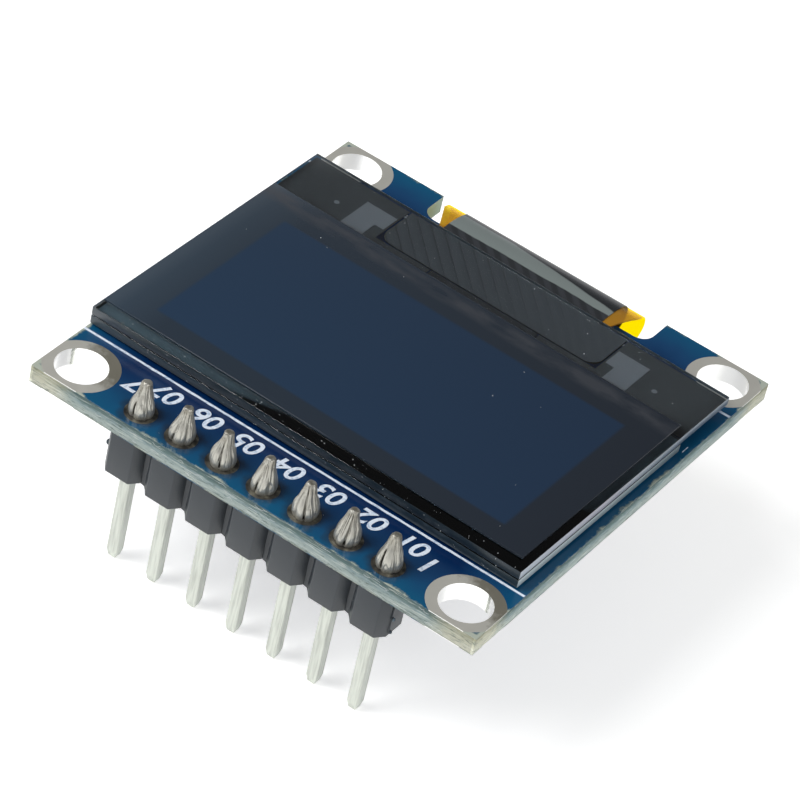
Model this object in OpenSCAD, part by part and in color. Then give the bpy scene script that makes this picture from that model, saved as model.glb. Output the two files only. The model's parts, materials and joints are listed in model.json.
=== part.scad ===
// Small 0.96 inch OLED display module: a square carrier board with four plated
// corner holes, a glass display panel taped to its front, a folded flex that runs
// through a notch to the back, and a soldered 7-pin header.
// Row frame: origin at the centre of the corner-hole pattern on the board's back
// face, +Z out of the display side, header along the -Y edge, pin 1 at the +X end.

/* [Board] */
// Width of the board, along X
board_w = 27.3; // [27.2:0.1:28]
// Length of the board, along Y
board_l = 27.5; // [27.4:0.1:28.5]
// Thickness of the bare glass-fibre laminate
laminate_t = 1; // [0.8:0.1:1.6]
// Thickness of one solder-mask skin, and of the copper beside it
skin_t = 0.035; // [0.03:0.005:0.05]

/* [Corner holes] */
// Hole spacing along X
hole_dx = 23.7; // [23.3:0.1:23.9]
// Hole spacing along Y
hole_dy = 24; // [23.5:0.1:24.2]
// Finished hole diameter
hole_d = 2.8; // [2:0.1:2.9]
// Outer diameter of the bare metal ring round each hole
ring_d = 4.05; // [3.6:0.05:4.3]

/* [Flex notch] */
// Width of the notch in the far edge
notch_w = 14.5; // [13.6:0.1:15.5]
// Depth of the notch
notch_depth = 2.15; // [2:0.05:2.4]
// Corner radius left by the router bit
notch_r = 0.8; // [0.5:0.1:1]

/* [Header] */
// Spacing of the pins
pin_pitch = 2.54; // [2, 2.54]
// Side of the square pins
pin_side = 0.64; // [0.6:0.01:0.66]
// Length of pin below the plastic strip
pin_below = 6; // [5:0.1:9]
// Height of the plastic strip
strip_h = 2.54; // [2:0.02:2.8]
// Depth of the plastic strip, front to back
strip_d = 2.4; // [2.2:0.1:2.5]
// Distance of the pin row from the header edge
pin_inset = 1.17; // [1.1:0.01:1.4]

/* [Solder joints] */
// Height of the solder peaks above the board
solder_h = 2; // [1.8:0.1:2.4]
// Largest radius of a solder bulb
solder_r = 0.69; // [0.65:0.01:0.75]
// Depth of the creases between the lobes, as a share of the radius
crease = 0.2; // [0:0.02:0.24]

/* [Display panel] */
// Width of both glass plates
glass_w = 26.7; // [26:0.1:27]
// Length of the front glass, with its bonding ledge
front_l = 19.25; // [19.2:0.05:19.5]
// Length of the rear cover glass
cover_l = 14.75; // [14.4:0.05:14.9]
// Thickness of the front glass
front_t = 0.5; // [0.4:0.05:0.6]
// Thickness of the rear cover glass
cover_t = 0.5; // [0.4:0.05:0.6]
// Thickness of the foam tape under the panel
tape_t = 0.15; // [0.1:0.05:0.25]
// Thickness of the polarizing film
polarizer_t = 0.15; // [0.1:0.01:0.2]
// Offset of the panel from the board's centre, along X
panel_x = -0.15; // [-0.2:0.05:0.2]
// Offset of the panel from the board's centre, along Y
panel_y = 0.35; // [0.2:0.05:0.4]
// Turn of the hand-placed panel on its tape
panel_turn = -0.7; // [-1:0.1:1]

/* [Flex] */
// Width of the flex where it folds
flex_w = 12.6; // [11:0.1:13]
// Width of its soldered tail
tail_w = 19.2; // [18.8:0.1:19.3]
// Distance from the centre of the fold to the board's far edge
fold_inset = 1.1; // [1:0.05:1.3]
// Angle by which the flex dips before it folds
dip_angle = 20; // [10:1:25]
// Bare amber margin down each side of the fold
flex_margin = 1.15; // [0.8:0.05:1.2]

/* [Hidden] */
$fn = 48;

// Levels, from the back face up
z_laminate = skin_t;
z_front_skin = z_laminate + laminate_t;
z_top = z_front_skin + skin_t;
z_cover = z_top + tape_t;
z_seal = z_cover + cover_t;
seal_t = 0.05;
z_glass = z_seal + seal_t;
z_face = z_glass + front_t;
film_t = 0.02;                 // metal films on the underside of the ledge
z_film = z_glass - film_t;

far = 1;                       // overshoot of every cutting tool

function reversed(list) = [for (k = [len(list) - 1 : -1 : 0]) list[k]];

// Board ------------------------------------------------------------------

plating_t = 0.05;
pin_count = 7;
pad_hole_d = 1;
pad_d = 1.75;
row_y = pin_inset - board_l / 2;
corner_signs = [[1, -1], [-1, -1], [-1, 1], [1, 1]];

function pin_x(i) = ((pin_count + 1) / 2 - i) * pin_pitch;

// Slab with the board's outline, notch included, from z0 up
module board_slab(z0, t) {
    half_w = board_w / 2;
    half_l = board_l / 2;
    floor_y = half_l - notch_depth;
    difference() {
        translate([-half_w, -half_l, z0]) cube([board_w, board_l, t]);
        translate([-notch_w / 2, floor_y + notch_r, z0 - far])
            cube([notch_w, notch_depth + far, t + 2 * far]);
        translate([-notch_w / 2 + notch_r, floor_y, z0 - far])
            cube([notch_w - 2 * notch_r, notch_depth + far, t + 2 * far]);
        for (side = [-1, 1])
            translate([side * (notch_w / 2 - notch_r), floor_y + notch_r, z0 - far])
                cylinder(r = notch_r, h = t + 2 * far);
    }
}

module at_corner(i) {
    translate([corner_signs[i - 1][0] * hole_dx / 2, corner_signs[i - 1][1] * hole_dy / 2, 0]) children();
}

module at_pin(i) {
    translate([pin_x(i), row_y, 0]) children();
}

// Round cutters at the corners and at the header pads
module drills(corner_d, pin_d, z0, t) {
    for (i = [1 : 4]) at_corner(i) translate([0, 0, z0 - far]) cylinder(d = corner_d, h = t + 2 * far);
    for (i = [1 : pin_count]) at_pin(i) translate([0, 0, z0 - far]) cylinder(d = pin_d, h = t + 2 * far);
}

// A plated hole: a barrel with a flat ring on each face
module plated_hole(inner_d, outer_d) {
    inner = inner_d / 2;
    outer = outer_d / 2;
    rotate_extrude()
        polygon([[inner, 0], [outer, 0], [outer, z_laminate], [inner + plating_t, z_laminate],
                 [inner + plating_t, z_front_skin], [outer, z_front_skin], [outer, z_top], [inner, z_top]]);
}

module fr4_board() {
    color("#C3C8B4") difference() {
        board_slab(z_laminate, laminate_t);
        drills(hole_d + 2 * plating_t, pad_hole_d + 2 * plating_t, z_laminate, laminate_t);
    }
}

module front_solder_mask() {
    color("#0A4A7A") difference() {
        board_slab(z_front_skin, skin_t);
        drills(ring_d, pad_d, z_front_skin, skin_t);
    }
}

module back_solder_mask() {
    color("#0A4A7A") difference() {
        board_slab(0, skin_t);
        drills(ring_d, pad_d, 0, skin_t);
        all_lands(-far, skin_t + 2 * far);
    }
}

// Plated ring and barrel, trimmed where it runs off the board
module corner_eyelet(i) {
    color("#BDBBAE") intersection() {
        at_corner(i) plated_hole(hole_d, ring_d);
        board_slab(-far, z_top + 2 * far);
    }
}

module header_pads() {
    color("#BDBBAE") for (i = [1 : pin_count]) at_pin(i) plated_hole(pad_hole_d, pad_d);
}

// White printed lines that frame the panel, and a short tick beside it
legend_t = 0.015;
legend_w = 0.2;
legend_front_y = 4.25 - board_l / 2;
legend_back_y = board_l / 2 - 3.92;
tick_l = 0.6;
module front_legend() {
    color("#DDE7F2") {
        for (y = [legend_front_y, legend_back_y])
            translate([-board_w / 2, y - legend_w / 2, z_top]) cube([board_w, legend_w, legend_t]);
        translate([board_w / 2 - 0.35, 5.55, z_top]) cube([legend_w / 2, tick_l, legend_t]);
    }
}

// Header -----------------------------------------------------------------

web_w = 0.3;                   // thin web that joins two cells
web_d = 1.32;
cell_w = pin_pitch - web_w;
cell_chamfer = 0.4;
torn_rib_l = 0.09;              // the webs torn at both ends leave a thin rib with beads on it
torn_rib_w = 0.12;
torn_ribs = [[-1, -0.05], [1, -0.58]];          // end of the row, and place along Y
// End of the row, place along Y, height, reach and diameter of each bead
torn_beads = [[-1, -0.05, -0.62, 0.18, 0.2], [-1, -0.12, -1.1, 0.1, 0.16], [-1, -0.1, -1.72, 0.28, 0.34],
              [1, -0.58, -0.45, 0.1, 0.18], [1, -0.6, -1.3, 0.13, 0.22], [1, -0.55, -2.2, 0.1, 0.2]];
module header_strip() {
    cell = [[cell_w, -web_d], [cell_w, web_d],
            [cell_w - 2 * cell_chamfer, strip_d], [2 * cell_chamfer - cell_w, strip_d]];
    row_l = (pin_count - 1) * pin_pitch;
    color("#474A4F") difference() {
        union() {
            for (i = [1 : pin_count]) at_pin(i) translate([0, 0, -strip_h]) linear_extrude(strip_h)
                polygon([for (turn = [1, -1]) for (corner = cell) turn * corner / 2]);
            translate([-row_l / 2, row_y - web_d / 2, -strip_h]) cube([row_l, web_d, strip_h]);
            for (rib = torn_ribs)
                translate([rib[0] * (row_l + cell_w) / 2, row_y + rib[1], -strip_h / 2])
                    cube([2 * torn_rib_l, torn_rib_w, strip_h - 0.5], center = true);
            for (bead = torn_beads)
                translate([bead[0] * (row_l + cell_w) / 2, row_y + bead[1], bead[2]])
                    rotate([0, bead[0] * 90, 0]) {
                        cylinder(d = bead[4] * 0.7, h = bead[3], $fn = 16);
                        translate([0, 0, bead[3]]) sphere(d = bead[4], $fn = 16);
                    }
        }
        for (i = [1 : pin_count])
            at_pin(i) translate([-pin_side / 2, -pin_side / 2, -strip_h - far])
                cube([pin_side, pin_side, strip_h + 2 * far]);
    }
}

// Side view of a pin: a blunt tip that widens to the full side, the same way at both ends
upper_taper = 1.3;
lower_taper = 1.05;
pin_top = z_top + solder_h - 0.1;
pin_bottom = -strip_h - pin_below;
function tip(taper) = [[0.1, 0], [0.15, 0.06], [0.23, taper / 2], [pin_side / 2, taper]];
function pin_side_points() =
    concat([for (p = tip(lower_taper)) [p[0], pin_bottom + p[1]]],
           [for (k = [3 : -1 : 0]) [tip(upper_taper)[k][0], pin_top - tip(upper_taper)[k][1]]]);

module pin_profile() {
    right = pin_side_points();
    polygon(concat(right, [for (p = reversed(right)) [-p[0], p[1]]]));
}

module header_pin(i) {
    color("#D2D3CC") at_pin(i) intersection() {
        rotate([90, 0, 0]) linear_extrude(pin_side, center = true) pin_profile();
        rotate([90, 0, 90]) linear_extrude(pin_side, center = true) pin_profile();
    }
}

// Solder joints: bulbs drawn up the pins, pleated into lobes with sharp creases ---

lobe_steps = 7;                // facets across one lobe
lobe_counts = [5, 6, 6, 5, 6, 6, 5];
slit_turns = [-100, -72, -60, -104, -70, -110, -98];   // where each joint's deepest crease faces
lean_turns = [70, 20, 110, 50, 80, 35, 95];
lean = 0.045;                  // sideways lean of the peak, as a share of solder_h
twist = 16;                    // turn of the creases from foot to peak
// Height and radius of each ring, as shares of solder_h and solder_r
bulb_rings = [[0, 0.91], [0.06, 0.965], [0.14, 1], [0.24, 1], [0.33, 0.96], [0.42, 0.88], [0.51, 0.78],
              [0.6, 0.675], [0.7, 0.575], [0.8, 0.5], [0.89, 0.45], [0.95, 0.4], [0.985, 0.32], [1, 0.2]];

// Angle of crease j on joint i; the lobes are of uneven width
function crease_turn(i, j) = 360 * j / lobe_counts[i - 1] + 11 * sin(137 * j + 53 * i) * (j == 0 ? 0 : 1);
// Share of a crease's depth at a given height: deepest a third of the way up, none at the peak
function crease_share(h) = sin(180 * (0.2 + 0.8 * h));

// Point m of ring k: m counts whole lobes and the steps across each
function bulb_point(i, k, m) =
    let (h = bulb_rings[k][0], j = floor(m / lobe_steps), s = m / lobe_steps - j,
         next = j + 1 == lobe_counts[i - 1] ? 360 : crease_turn(i, j + 1),
         turn = slit_turns[i - 1] + crease_turn(i, j) * (1 - s) + next * s + twist * h * (i % 2 == 0 ? 1 : -1),
         dip = pow(1 - sin(180 * s), 2) * ((j == 0 && s < 0.5) || (next == 360 && s > 0.5) ? 1.3 : 0.8),
         r = solder_r * bulb_rings[k][1] * (1 - crease * crease_share(h) * dip),
         off = lean * solder_h * h * h)
    [r * cos(turn) + off * cos(lean_turns[i - 1]), r * sin(turn) + off * sin(lean_turns[i - 1]), h * solder_h];

module bulb(i) {
    n = lobe_counts[i - 1] * lobe_steps;
    last = len(bulb_rings) - 1;
    polyhedron(
        points = [for (k = [0 : last]) for (m = [0 : n - 1]) bulb_point(i, k, m)],
        faces = concat(
            [[for (m = [0 : n - 1]) m]],
            [for (k = [0 : last - 1]) for (m = [0 : n - 1])
                [k * n + m, (k + 1) * n + m, (k + 1) * n + (m + 1) % n]],
            [for (k = [0 : last - 1]) for (m = [0 : n - 1])
                [k * n + m, (k + 1) * n + (m + 1) % n, k * n + (m + 1) % n]],
            [[for (m = [n - 1 : -1 : 0]) last * n + m]]));
}

module solder_joint(i) {
    plug_rise = 0.04;          // the plug in the hole runs this far up into the bulb
    color("#C9C7BE") difference() {
        at_pin(i) {
            translate([0, 0, z_top]) bulb(i);
            cylinder(d = pad_hole_d, h = z_top + plug_rise);
        }
        header_pin(i);
    }
}

// Display panel ------------------------------------------------------------

module on_panel() {
    translate([panel_x, panel_y, 0]) rotate([0, 0, panel_turn]) children();
}

// Plate between two X and two Y values in the panel's own frame
module plate(x0, x1, y0, y1, z0, t) {
    translate([x0, y0, z0]) cube([x1 - x0, y1 - y0, t]);
}

glass_x = glass_w / 2;
glass_y0 = -front_l / 2;
cover_y1 = glass_y0 + cover_l;
active_w = 21.74;
active_l = 10.86;
active_y0 = glass_y0 + 2.1;
emitter_t = 0.03;
pocket_rim = 1.3;              // rim round the pocket etched into the cover glass
pocket_depth = 0.25;
tape_inset = 1;
desiccant_t = 0.12;
desiccant_rim = pocket_rim + 1.5;
seal_inset = 0.2;

module foam_tape() {
    color("#E6E6E2") on_panel()
        plate(-glass_x + tape_inset, glass_x - tape_inset, glass_y0 + tape_inset, cover_y1 - tape_inset,
              z_top, tape_t);
}

module cover_glass() {
    color("#A9B2B8", 0.6) on_panel() difference() {
        plate(-glass_x, glass_x, glass_y0, cover_y1, z_cover, cover_t);
        plate(-glass_x + pocket_rim, glass_x - pocket_rim, glass_y0 + pocket_rim, cover_y1 - pocket_rim,
              z_seal - pocket_depth, pocket_depth + far);
    }
}

module desiccant_sheet() {
    color("#D8D8D4") on_panel()
        plate(-glass_x + desiccant_rim, glass_x - desiccant_rim, glass_y0 + desiccant_rim,
              cover_y1 - desiccant_rim, z_seal - pocket_depth, desiccant_t);
}

module edge_seal() {
    color("#3A3F44") on_panel() difference() {
        plate(-glass_x + seal_inset, glass_x - seal_inset, glass_y0 + seal_inset, cover_y1 - seal_inset,
              z_seal, seal_t);
        plate(-glass_x + pocket_rim, glass_x - pocket_rim, glass_y0 + pocket_rim, cover_y1 - pocket_rim,
              z_seal - far, seal_t + 2 * far);
    }
}

module emitter_layer() {
    color("#24364F") on_panel()
        plate(-active_w / 2, active_w / 2, active_y0, active_y0 + active_l, z_glass - emitter_t, emitter_t);
}

module front_glass() {
    color("#9AA4B0", 0.5) on_panel() plate(-glass_x, glass_x, glass_y0, -glass_y0, z_glass, front_t);
}

// The film is laid by hand, nearer the left edge of the glass than the right
module polarizer() {
    color("#2B3036") on_panel() plate(-glass_x + 0.1, glass_x - 0.48, glass_y0 + 0.8, 5.6, z_face, polarizer_t);
}

// Metal seen through the bonding ledge: a fan of slanted tracks, two angle marks, two dots
fan_x = 6.93;
fan_y0 = 6.5;
fan_y1 = -glass_y0 - 0.05;
fan_r = 0.8;
fan_pitch = 0.92;
fan_slant = 45;
module fan_field(z0, t) {
    plate(-fan_x, fan_x, fan_y0 + fan_r, fan_y1, z0, t);
    plate(-fan_x + fan_r, fan_x - fan_r, fan_y0, fan_y1, z0, t);
    for (side = [-1, 1]) translate([side * (fan_x - fan_r), fan_y0 + fan_r, z0]) cylinder(r = fan_r, h = t);
}

module ledge_traces() {
    track_w = fan_pitch / 2 * sin(fan_slant);
    reach = fan_x + (fan_y1 - fan_y0) / 2;
    color("#3B3E42") on_panel() intersection() {
        fan_field(z_film, film_t);
        for (x = [-reach : fan_pitch : reach])
            translate([x, (fan_y0 + fan_y1) / 2, z_film - far]) rotate([0, 0, fan_slant])
                translate([-track_w / 2, -fan_x, 0]) cube([track_w, 2 * fan_x, film_t + 2 * far]);
    }
}

mark_y = 7.2;                  // step of the angle marks, and centre of the dots
module ledge_marks() {
    color("#6E7176") on_panel() for (side = [0, 1]) mirror([side, 0, 0]) {
        plate(7.7, 9.1, 6.03, 8.5, z_film, film_t);
        plate(7.15, 7.7, mark_y, 8.5, z_film, film_t);
        translate([10.2, mark_y, z_film]) cylinder(d = 0.3, h = film_t);
    }
}

// Black tape that backs the ledge, cut away round the chip and the end of the flex
shield_t = 0.05;
shield_gap = 0.12;
chip_w = 6.8;
chip_l = 0.9;
chip_t = 0.3;
chip_y = 5.93;
module shield_tape() {
    color("#1E1F21") on_panel() difference() {
        plate(-glass_x + 0.1, glass_x - 0.1, cover_y1 + 0.05, -glass_y0 - 0.1, z_film - shield_t, shield_t);
        plate(-chip_w / 2 - shield_gap, chip_w / 2 + shield_gap, chip_y - chip_l / 2 - shield_gap,
              fan_y0, z_film - shield_t - far, shield_t + 2 * far);
        plate(-fan_x - shield_gap, fan_x + shield_gap, fan_y0 - shield_gap, front_l,
              z_film - shield_t - far, shield_t + 2 * far);
    }
}

module driver_chip() {
    color("#2C2D30") on_panel()
        plate(-chip_w / 2, chip_w / 2, chip_y - chip_l / 2, chip_y + chip_l / 2, z_film - chip_t, chip_t);
}

// Flex ---------------------------------------------------------------------

base_t = 0.08;                 // amber film, on the inside of the fold
coverlay_t = 0.04;             // dark coverlay, on the outside
flex_t = base_t + coverlay_t;
flex_top_y = 9.2;              // the neck starts here, on the bonded end
dip_y = panel_y - glass_y0 + 1.2;
fold_y = board_l / 2 - fold_inset;
// Outer radii of the fold and of the dip before it: the arcs meet smoothly and the legs
// lie on the underside of the ledge and on the back of the board
fold_r = (z_film + flex_t - (fold_y - dip_y) * tan(dip_angle / 2)) / 2;
dip_r = fold_r + (fold_y - dip_y) / sin(dip_angle);
fold_z = fold_r - flex_t;
cover_x = flex_w / 2 - flex_margin;
neck_x = [-cover_x, cover_x + 0.35];   // edges of the film where it leaves the ledge
neck_y = 10.1;
flare_y = 12.5;                // the film is at its full width from here
tail_y0 = 7.2;
tail_y1 = 10.2;
shoulder_y = 10.9;
tail_margin = 0.4;
finger_stop_y = 8.5;           // the coverlay stops here and the fingers are bare

// Arc in side view, without its first point; angles run from 0 up to 90 towards +Y
arc_step = 5;
function arc_points(y, z, r, from, to) =
    let (n = ceil((to - from) / arc_step))
    [for (k = [1 : n]) let (a = from + (to - from) * k / n) [y + r * sin(a), z + r * cos(a)]];

// Side view of the flex at a depth inside its outer face, from the ledge round to the tail
function flex_path(depth) = concat(
    [[flex_top_y, z_film - depth], [dip_y, z_film - depth]],
    arc_points(dip_y, z_film - dip_r, dip_r - depth, 0, dip_angle),
    arc_points(fold_y, fold_z, fold_r - depth, dip_angle, 180),
    [[tail_y1, depth - flex_t]]);

// Sheet between two depths: upper leg, dip, fold and lower leg
module folded_sheet(x0, x1, depth, t) {
    translate([x0, 0, 0]) rotate([90, 0, 90]) linear_extrude(x1 - x0)
        polygon(concat(flex_path(depth), reversed(flex_path(depth + t))));
}

// End of the flex that is bonded under the ledge
module bonded_end(depth, t) {
    on_panel() fan_field(z_film - depth - t, t);
}

// Cutters beside the neck, where the upper leg widens from the ledge to the fold
module neck_cutters() {
    half = flex_w / 2;
    for (side = [0, 1]) translate([0, 0, fold_z]) linear_extrude(z_film)
        polygon([[(2 * side - 1) * (half + far), flex_top_y - far], [neck_x[side], flex_top_y - far],
                 [neck_x[side], neck_y], [(2 * side - 1) * half, flare_y], [(2 * side - 1) * (half + far), flare_y]]);
}

// Tail outline with slanted shoulders, from y0 back to the lower leg
module tail_sheet(wide, narrow, y0, z0, t) {
    translate([0, 0, z0]) linear_extrude(t)
        polygon([[-wide, y0], [wide, y0], [wide, tail_y1], [narrow, shoulder_y], [-narrow, shoulder_y],
                 [-wide, tail_y1]]);
}

module flex_cable() {
    half = flex_w / 2;
    color("#B9791C") {
        bonded_end(coverlay_t, base_t);
        translate([panel_x, 0, 0]) {
            difference() {
                folded_sheet(-half, half, coverlay_t, base_t);
                neck_cutters();
            }
            tail_sheet(tail_w / 2, half, tail_y0, -base_t, base_t);
        }
    }
}

module flex_coverlay() {
    color("#26282B") {
        bonded_end(0, coverlay_t);
        translate([panel_x, 0, 0]) {
            folded_sheet(-cover_x, cover_x, 0, coverlay_t);
            tail_sheet(tail_w / 2 - tail_margin, cover_x, finger_stop_y, -flex_t, coverlay_t);
        }
    }
}

// Solder over the flex's fingers, and the board lands under them
finger_count = 30;
finger_pitch = 0.62;
finger_w = 0.34;
finger_y0 = 6.7;
finger_l = 1.65;
module at_fingers() {
    for (k = [1 : finger_count])
        translate([panel_x + (k - (finger_count + 1) / 2) * finger_pitch, finger_y0, 0]) children();
}

module flex_solder_row() {
    film_l = finger_y0 + finger_l - tail_y0;
    color("#C4C3BC") at_fingers() difference() {
        rotate([-90, 0, 0]) cylinder(d = finger_w, h = finger_l, $fn = 16);
        translate([-finger_w, -far, 0]) cube([2 * finger_w, finger_l + 2 * far, far]);
        translate([-finger_w, finger_l - film_l, -base_t]) cube([2 * finger_w, film_l + far, far]);
    }
}

// Parts on the back ----------------------------------------------------------

chip_size = [1.6, 0.8];
end_l = 0.3;
resistor_h = 0.45;
capacitor_h = 0.75;
step = 0.02;                   // the ceramic sits back from its metal ends
// Centre of each part, and whether it lies along X (0) or along Y (90)
resistor_places = [for (k = [0 : 3]) [-9 + 3 * k, 0.4, 0], for (k = [0 : 2]) [-9 + 3 * k, -2, 0]];
capacitor_places = [for (k = [-3 : 3]) [3 * k, 4.2, 90]];
diode_place = [7.6, -5.4, 0];
land_size = [0.75, 0.95];

module at_part(place) {
    translate([place[0], place[1], 0]) rotate([0, 0, place[2]]) children();
}

// A box centred on X and Y that runs from z0 up
module pad(w, l, z0, t) {
    translate([-w / 2, -l / 2, z0]) cube([w, l, t]);
}

regulator_at = [7.4, -1];
reg_size = [2.9, 1.3, 1];
reg_gap = 0.08;
lead_w = 0.4;
lead_t = 0.12;
lead_rows = [[-0.95, -1], [0.95, -1], [0, 1]];     // place along the body, and which side
module at_leads() {
    for (lead = lead_rows) translate([regulator_at[0] + lead[0], regulator_at[1], 0])
        rotate([0, 0, lead[1] > 0 ? 0 : 180]) children();
}

// Every land on the back, from z0 up: for the copper, and for the openings in the mask
module all_lands(z0, t) {
    for (place = concat(resistor_places, capacitor_places, [diode_place])) at_part(place)
        for (side = [-1, 1]) translate([side * (chip_size[0] / 2 + 0.05), 0, 0]) pad(land_size[0], land_size[1], z0, t);
    at_leads() translate([0, reg_size[1] / 2 + 0.45, 0]) pad(0.6, 0.7, z0, t);
    at_fingers() translate([0, 0.2, 0]) pad(finger_w, 0.6, z0, t);
}

module part_lands() {
    fillet = 0.28;             // leg of the solder fillet at a part's end
    fillet_w = 0.8;
    color("#BDBBB0") {
        all_lands(0, skin_t);
        for (place = concat(resistor_places, capacitor_places, [diode_place])) at_part(place)
            for (turn = [0, 180]) rotate([0, 0, turn])
                translate([chip_size[0] / 2, fillet_w / 2, 0]) rotate([90, 0, 0]) linear_extrude(fillet_w)
                    polygon([[0, 0], [0, -fillet], [fillet * 0.3, -fillet * 0.4], [fillet, 0]]);
    }
}

module part_ends(place, h) {
    at_part(place) for (side = [-1, 1])
        translate([side * (chip_size[0] - end_l) / 2, 0, 0]) pad(end_l, chip_size[1], -h, h);
}

diode_end_h = 0.25;
module chip_terminals() {
    color("#C8C7C0") {
        for (place = resistor_places) part_ends(place, resistor_h);
        for (place = capacitor_places) part_ends(place, capacitor_h);
        part_ends(diode_place, diode_end_h);
    }
}

module ceramic_body(place, h) {
    at_part(place) pad(chip_size[0] - 2 * end_l, chip_size[1] - 2 * step, -h + step, h - step);
}

module resistor(i) {
    color("#1D1E20") ceramic_body(resistor_places[i - 1], resistor_h);
}

module capacitor(i) {
    color("#B08A5A") ceramic_body(capacitor_places[i - 1], capacitor_h);
}

diode_h = 0.9;
module diode_body() {
    color("#222326") difference() {
        at_part(diode_place) pad(chip_size[0] - end_l, 1.24, -diode_h, diode_h);
        part_ends(diode_place, diode_end_h);
    }
}

// Side view of a moulded body whose walls lean in towards both faces
module moulded_side(l) {
    draft = 0.12;
    half = l / 2;
    mid = (reg_size[2] + reg_gap) / 2;
    polygon([[draft - half, -reg_size[2]], [half - draft, -reg_size[2]], [half, -mid],
             [half - draft, -reg_gap], [draft - half, -reg_gap], [-half, -mid]]);
}

module regulator_body() {
    color("#222326") translate([regulator_at[0], regulator_at[1], 0]) intersection() {
        rotate([90, 0, 0]) linear_extrude(reg_size[1], center = true) moulded_side(reg_size[0]);
        rotate([90, 0, 90]) linear_extrude(reg_size[0], center = true) moulded_side(reg_size[1]);
    }
}

// Gull-wing leads: a stub from the body's mid line, a slanted drop and a flat foot
module regulator_leads() {
    mid = (reg_size[2] + reg_gap) / 2;
    color("#C8C7C0") at_leads() translate([-lead_w / 2, reg_size[1] / 2, 0])
        rotate([90, 0, 90]) linear_extrude(lead_w)
            polygon([[0, -mid - lead_t / 2], [0.22, -mid - lead_t / 2], [0.34, -lead_t], [0.62, -lead_t],
                     [0.62, 0], [0.24, 0], [0.12, -mid + lead_t / 2], [0, -mid + lead_t / 2]]);
}

// Nodes ------------------------------------------------------------------------

fr4_board();
front_solder_mask();
back_solder_mask();
front_legend();
for (i = [1 : 4]) corner_eyelet(i);
header_pads();
header_strip();
for (i = [1 : pin_count]) header_pin(i);
for (i = [1 : pin_count]) solder_joint(i);
foam_tape();
cover_glass();
desiccant_sheet();
edge_seal();
emitter_layer();
front_glass();
polarizer();
ledge_traces();
ledge_marks();
shield_tape();
driver_chip();
flex_cable();
flex_coverlay();
flex_solder_row();
part_lands();
chip_terminals();
for (i = [1 : len(resistor_places)]) resistor(i);
for (i = [1 : len(capacitor_places)]) capacitor(i);
regulator_body();
regulator_leads();
diode_body();
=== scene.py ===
"""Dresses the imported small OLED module: finishes for every node, and the fine pieces the solids leave out."""
import json
import math
import random

import bmesh
import bpy
from bpy.props import FloatProperty, FloatVectorProperty, IntProperty, PointerProperty
from mathutils import Matrix, Vector, noise


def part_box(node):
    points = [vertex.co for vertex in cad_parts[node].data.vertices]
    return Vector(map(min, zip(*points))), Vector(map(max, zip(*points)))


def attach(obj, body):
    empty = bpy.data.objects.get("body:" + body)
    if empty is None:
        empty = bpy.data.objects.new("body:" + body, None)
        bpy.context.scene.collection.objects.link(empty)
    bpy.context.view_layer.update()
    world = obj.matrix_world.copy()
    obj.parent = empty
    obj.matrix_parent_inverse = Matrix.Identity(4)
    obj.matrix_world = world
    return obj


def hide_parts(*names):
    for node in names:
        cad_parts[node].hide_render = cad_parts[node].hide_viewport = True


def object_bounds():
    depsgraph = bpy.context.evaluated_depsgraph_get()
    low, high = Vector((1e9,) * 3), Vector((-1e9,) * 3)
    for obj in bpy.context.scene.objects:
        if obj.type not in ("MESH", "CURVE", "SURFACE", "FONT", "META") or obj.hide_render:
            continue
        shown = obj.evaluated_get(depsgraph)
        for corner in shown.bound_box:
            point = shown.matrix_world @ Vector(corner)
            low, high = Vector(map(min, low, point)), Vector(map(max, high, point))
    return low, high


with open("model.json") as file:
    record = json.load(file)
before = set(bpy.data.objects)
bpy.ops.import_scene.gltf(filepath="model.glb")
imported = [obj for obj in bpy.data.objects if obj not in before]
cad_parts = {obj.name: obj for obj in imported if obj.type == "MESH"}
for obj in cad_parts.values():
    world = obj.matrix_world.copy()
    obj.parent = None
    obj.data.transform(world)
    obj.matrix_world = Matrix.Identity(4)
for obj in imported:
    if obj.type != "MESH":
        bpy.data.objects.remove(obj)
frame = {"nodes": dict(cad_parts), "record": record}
cad_low, cad_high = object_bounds()

bl_info = {
    "name": "Small OLED Module",
    "version": (1, 1, 0),
    "blender": (4, 5, 0),
    "location": "View3D > Sidebar > OLED Module",
    "description": "Finishes and fine detail for a small OLED display module",
    "category": "Object",
}

MM = 0.001
NEAR = 1e-6                    # two places closer than this are one
FLAT = math.radians(0.5)       # faces that turn less than this are one flat face

# Places, read from the frame --------------------------------------------------

PIN_COUNT = sum(name.startswith("header_pin_") for name in frame["nodes"])
board_low, board_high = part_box("fr4_board")
mask_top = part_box("front_solder_mask")[1].z
glass_low, glass_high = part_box("front_glass")
cover_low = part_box("cover_glass")[0]
film_low, film_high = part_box("polarizer")
emitter_low, emitter_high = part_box("emitter_layer")
strip_low, strip_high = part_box("header_strip")
joint_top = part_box("solder_joint_1")[1].z


def middle(name):
    low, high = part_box(name)
    return (low + high) / 2


pin_places = [middle(f"header_pin_{i + 1}") for i in range(PIN_COUNT)]
PITCH = abs(pin_places[1].x - pin_places[0].x) / MM
corner_holes = frame["record"]["mounts"][0]["dims"]


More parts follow.
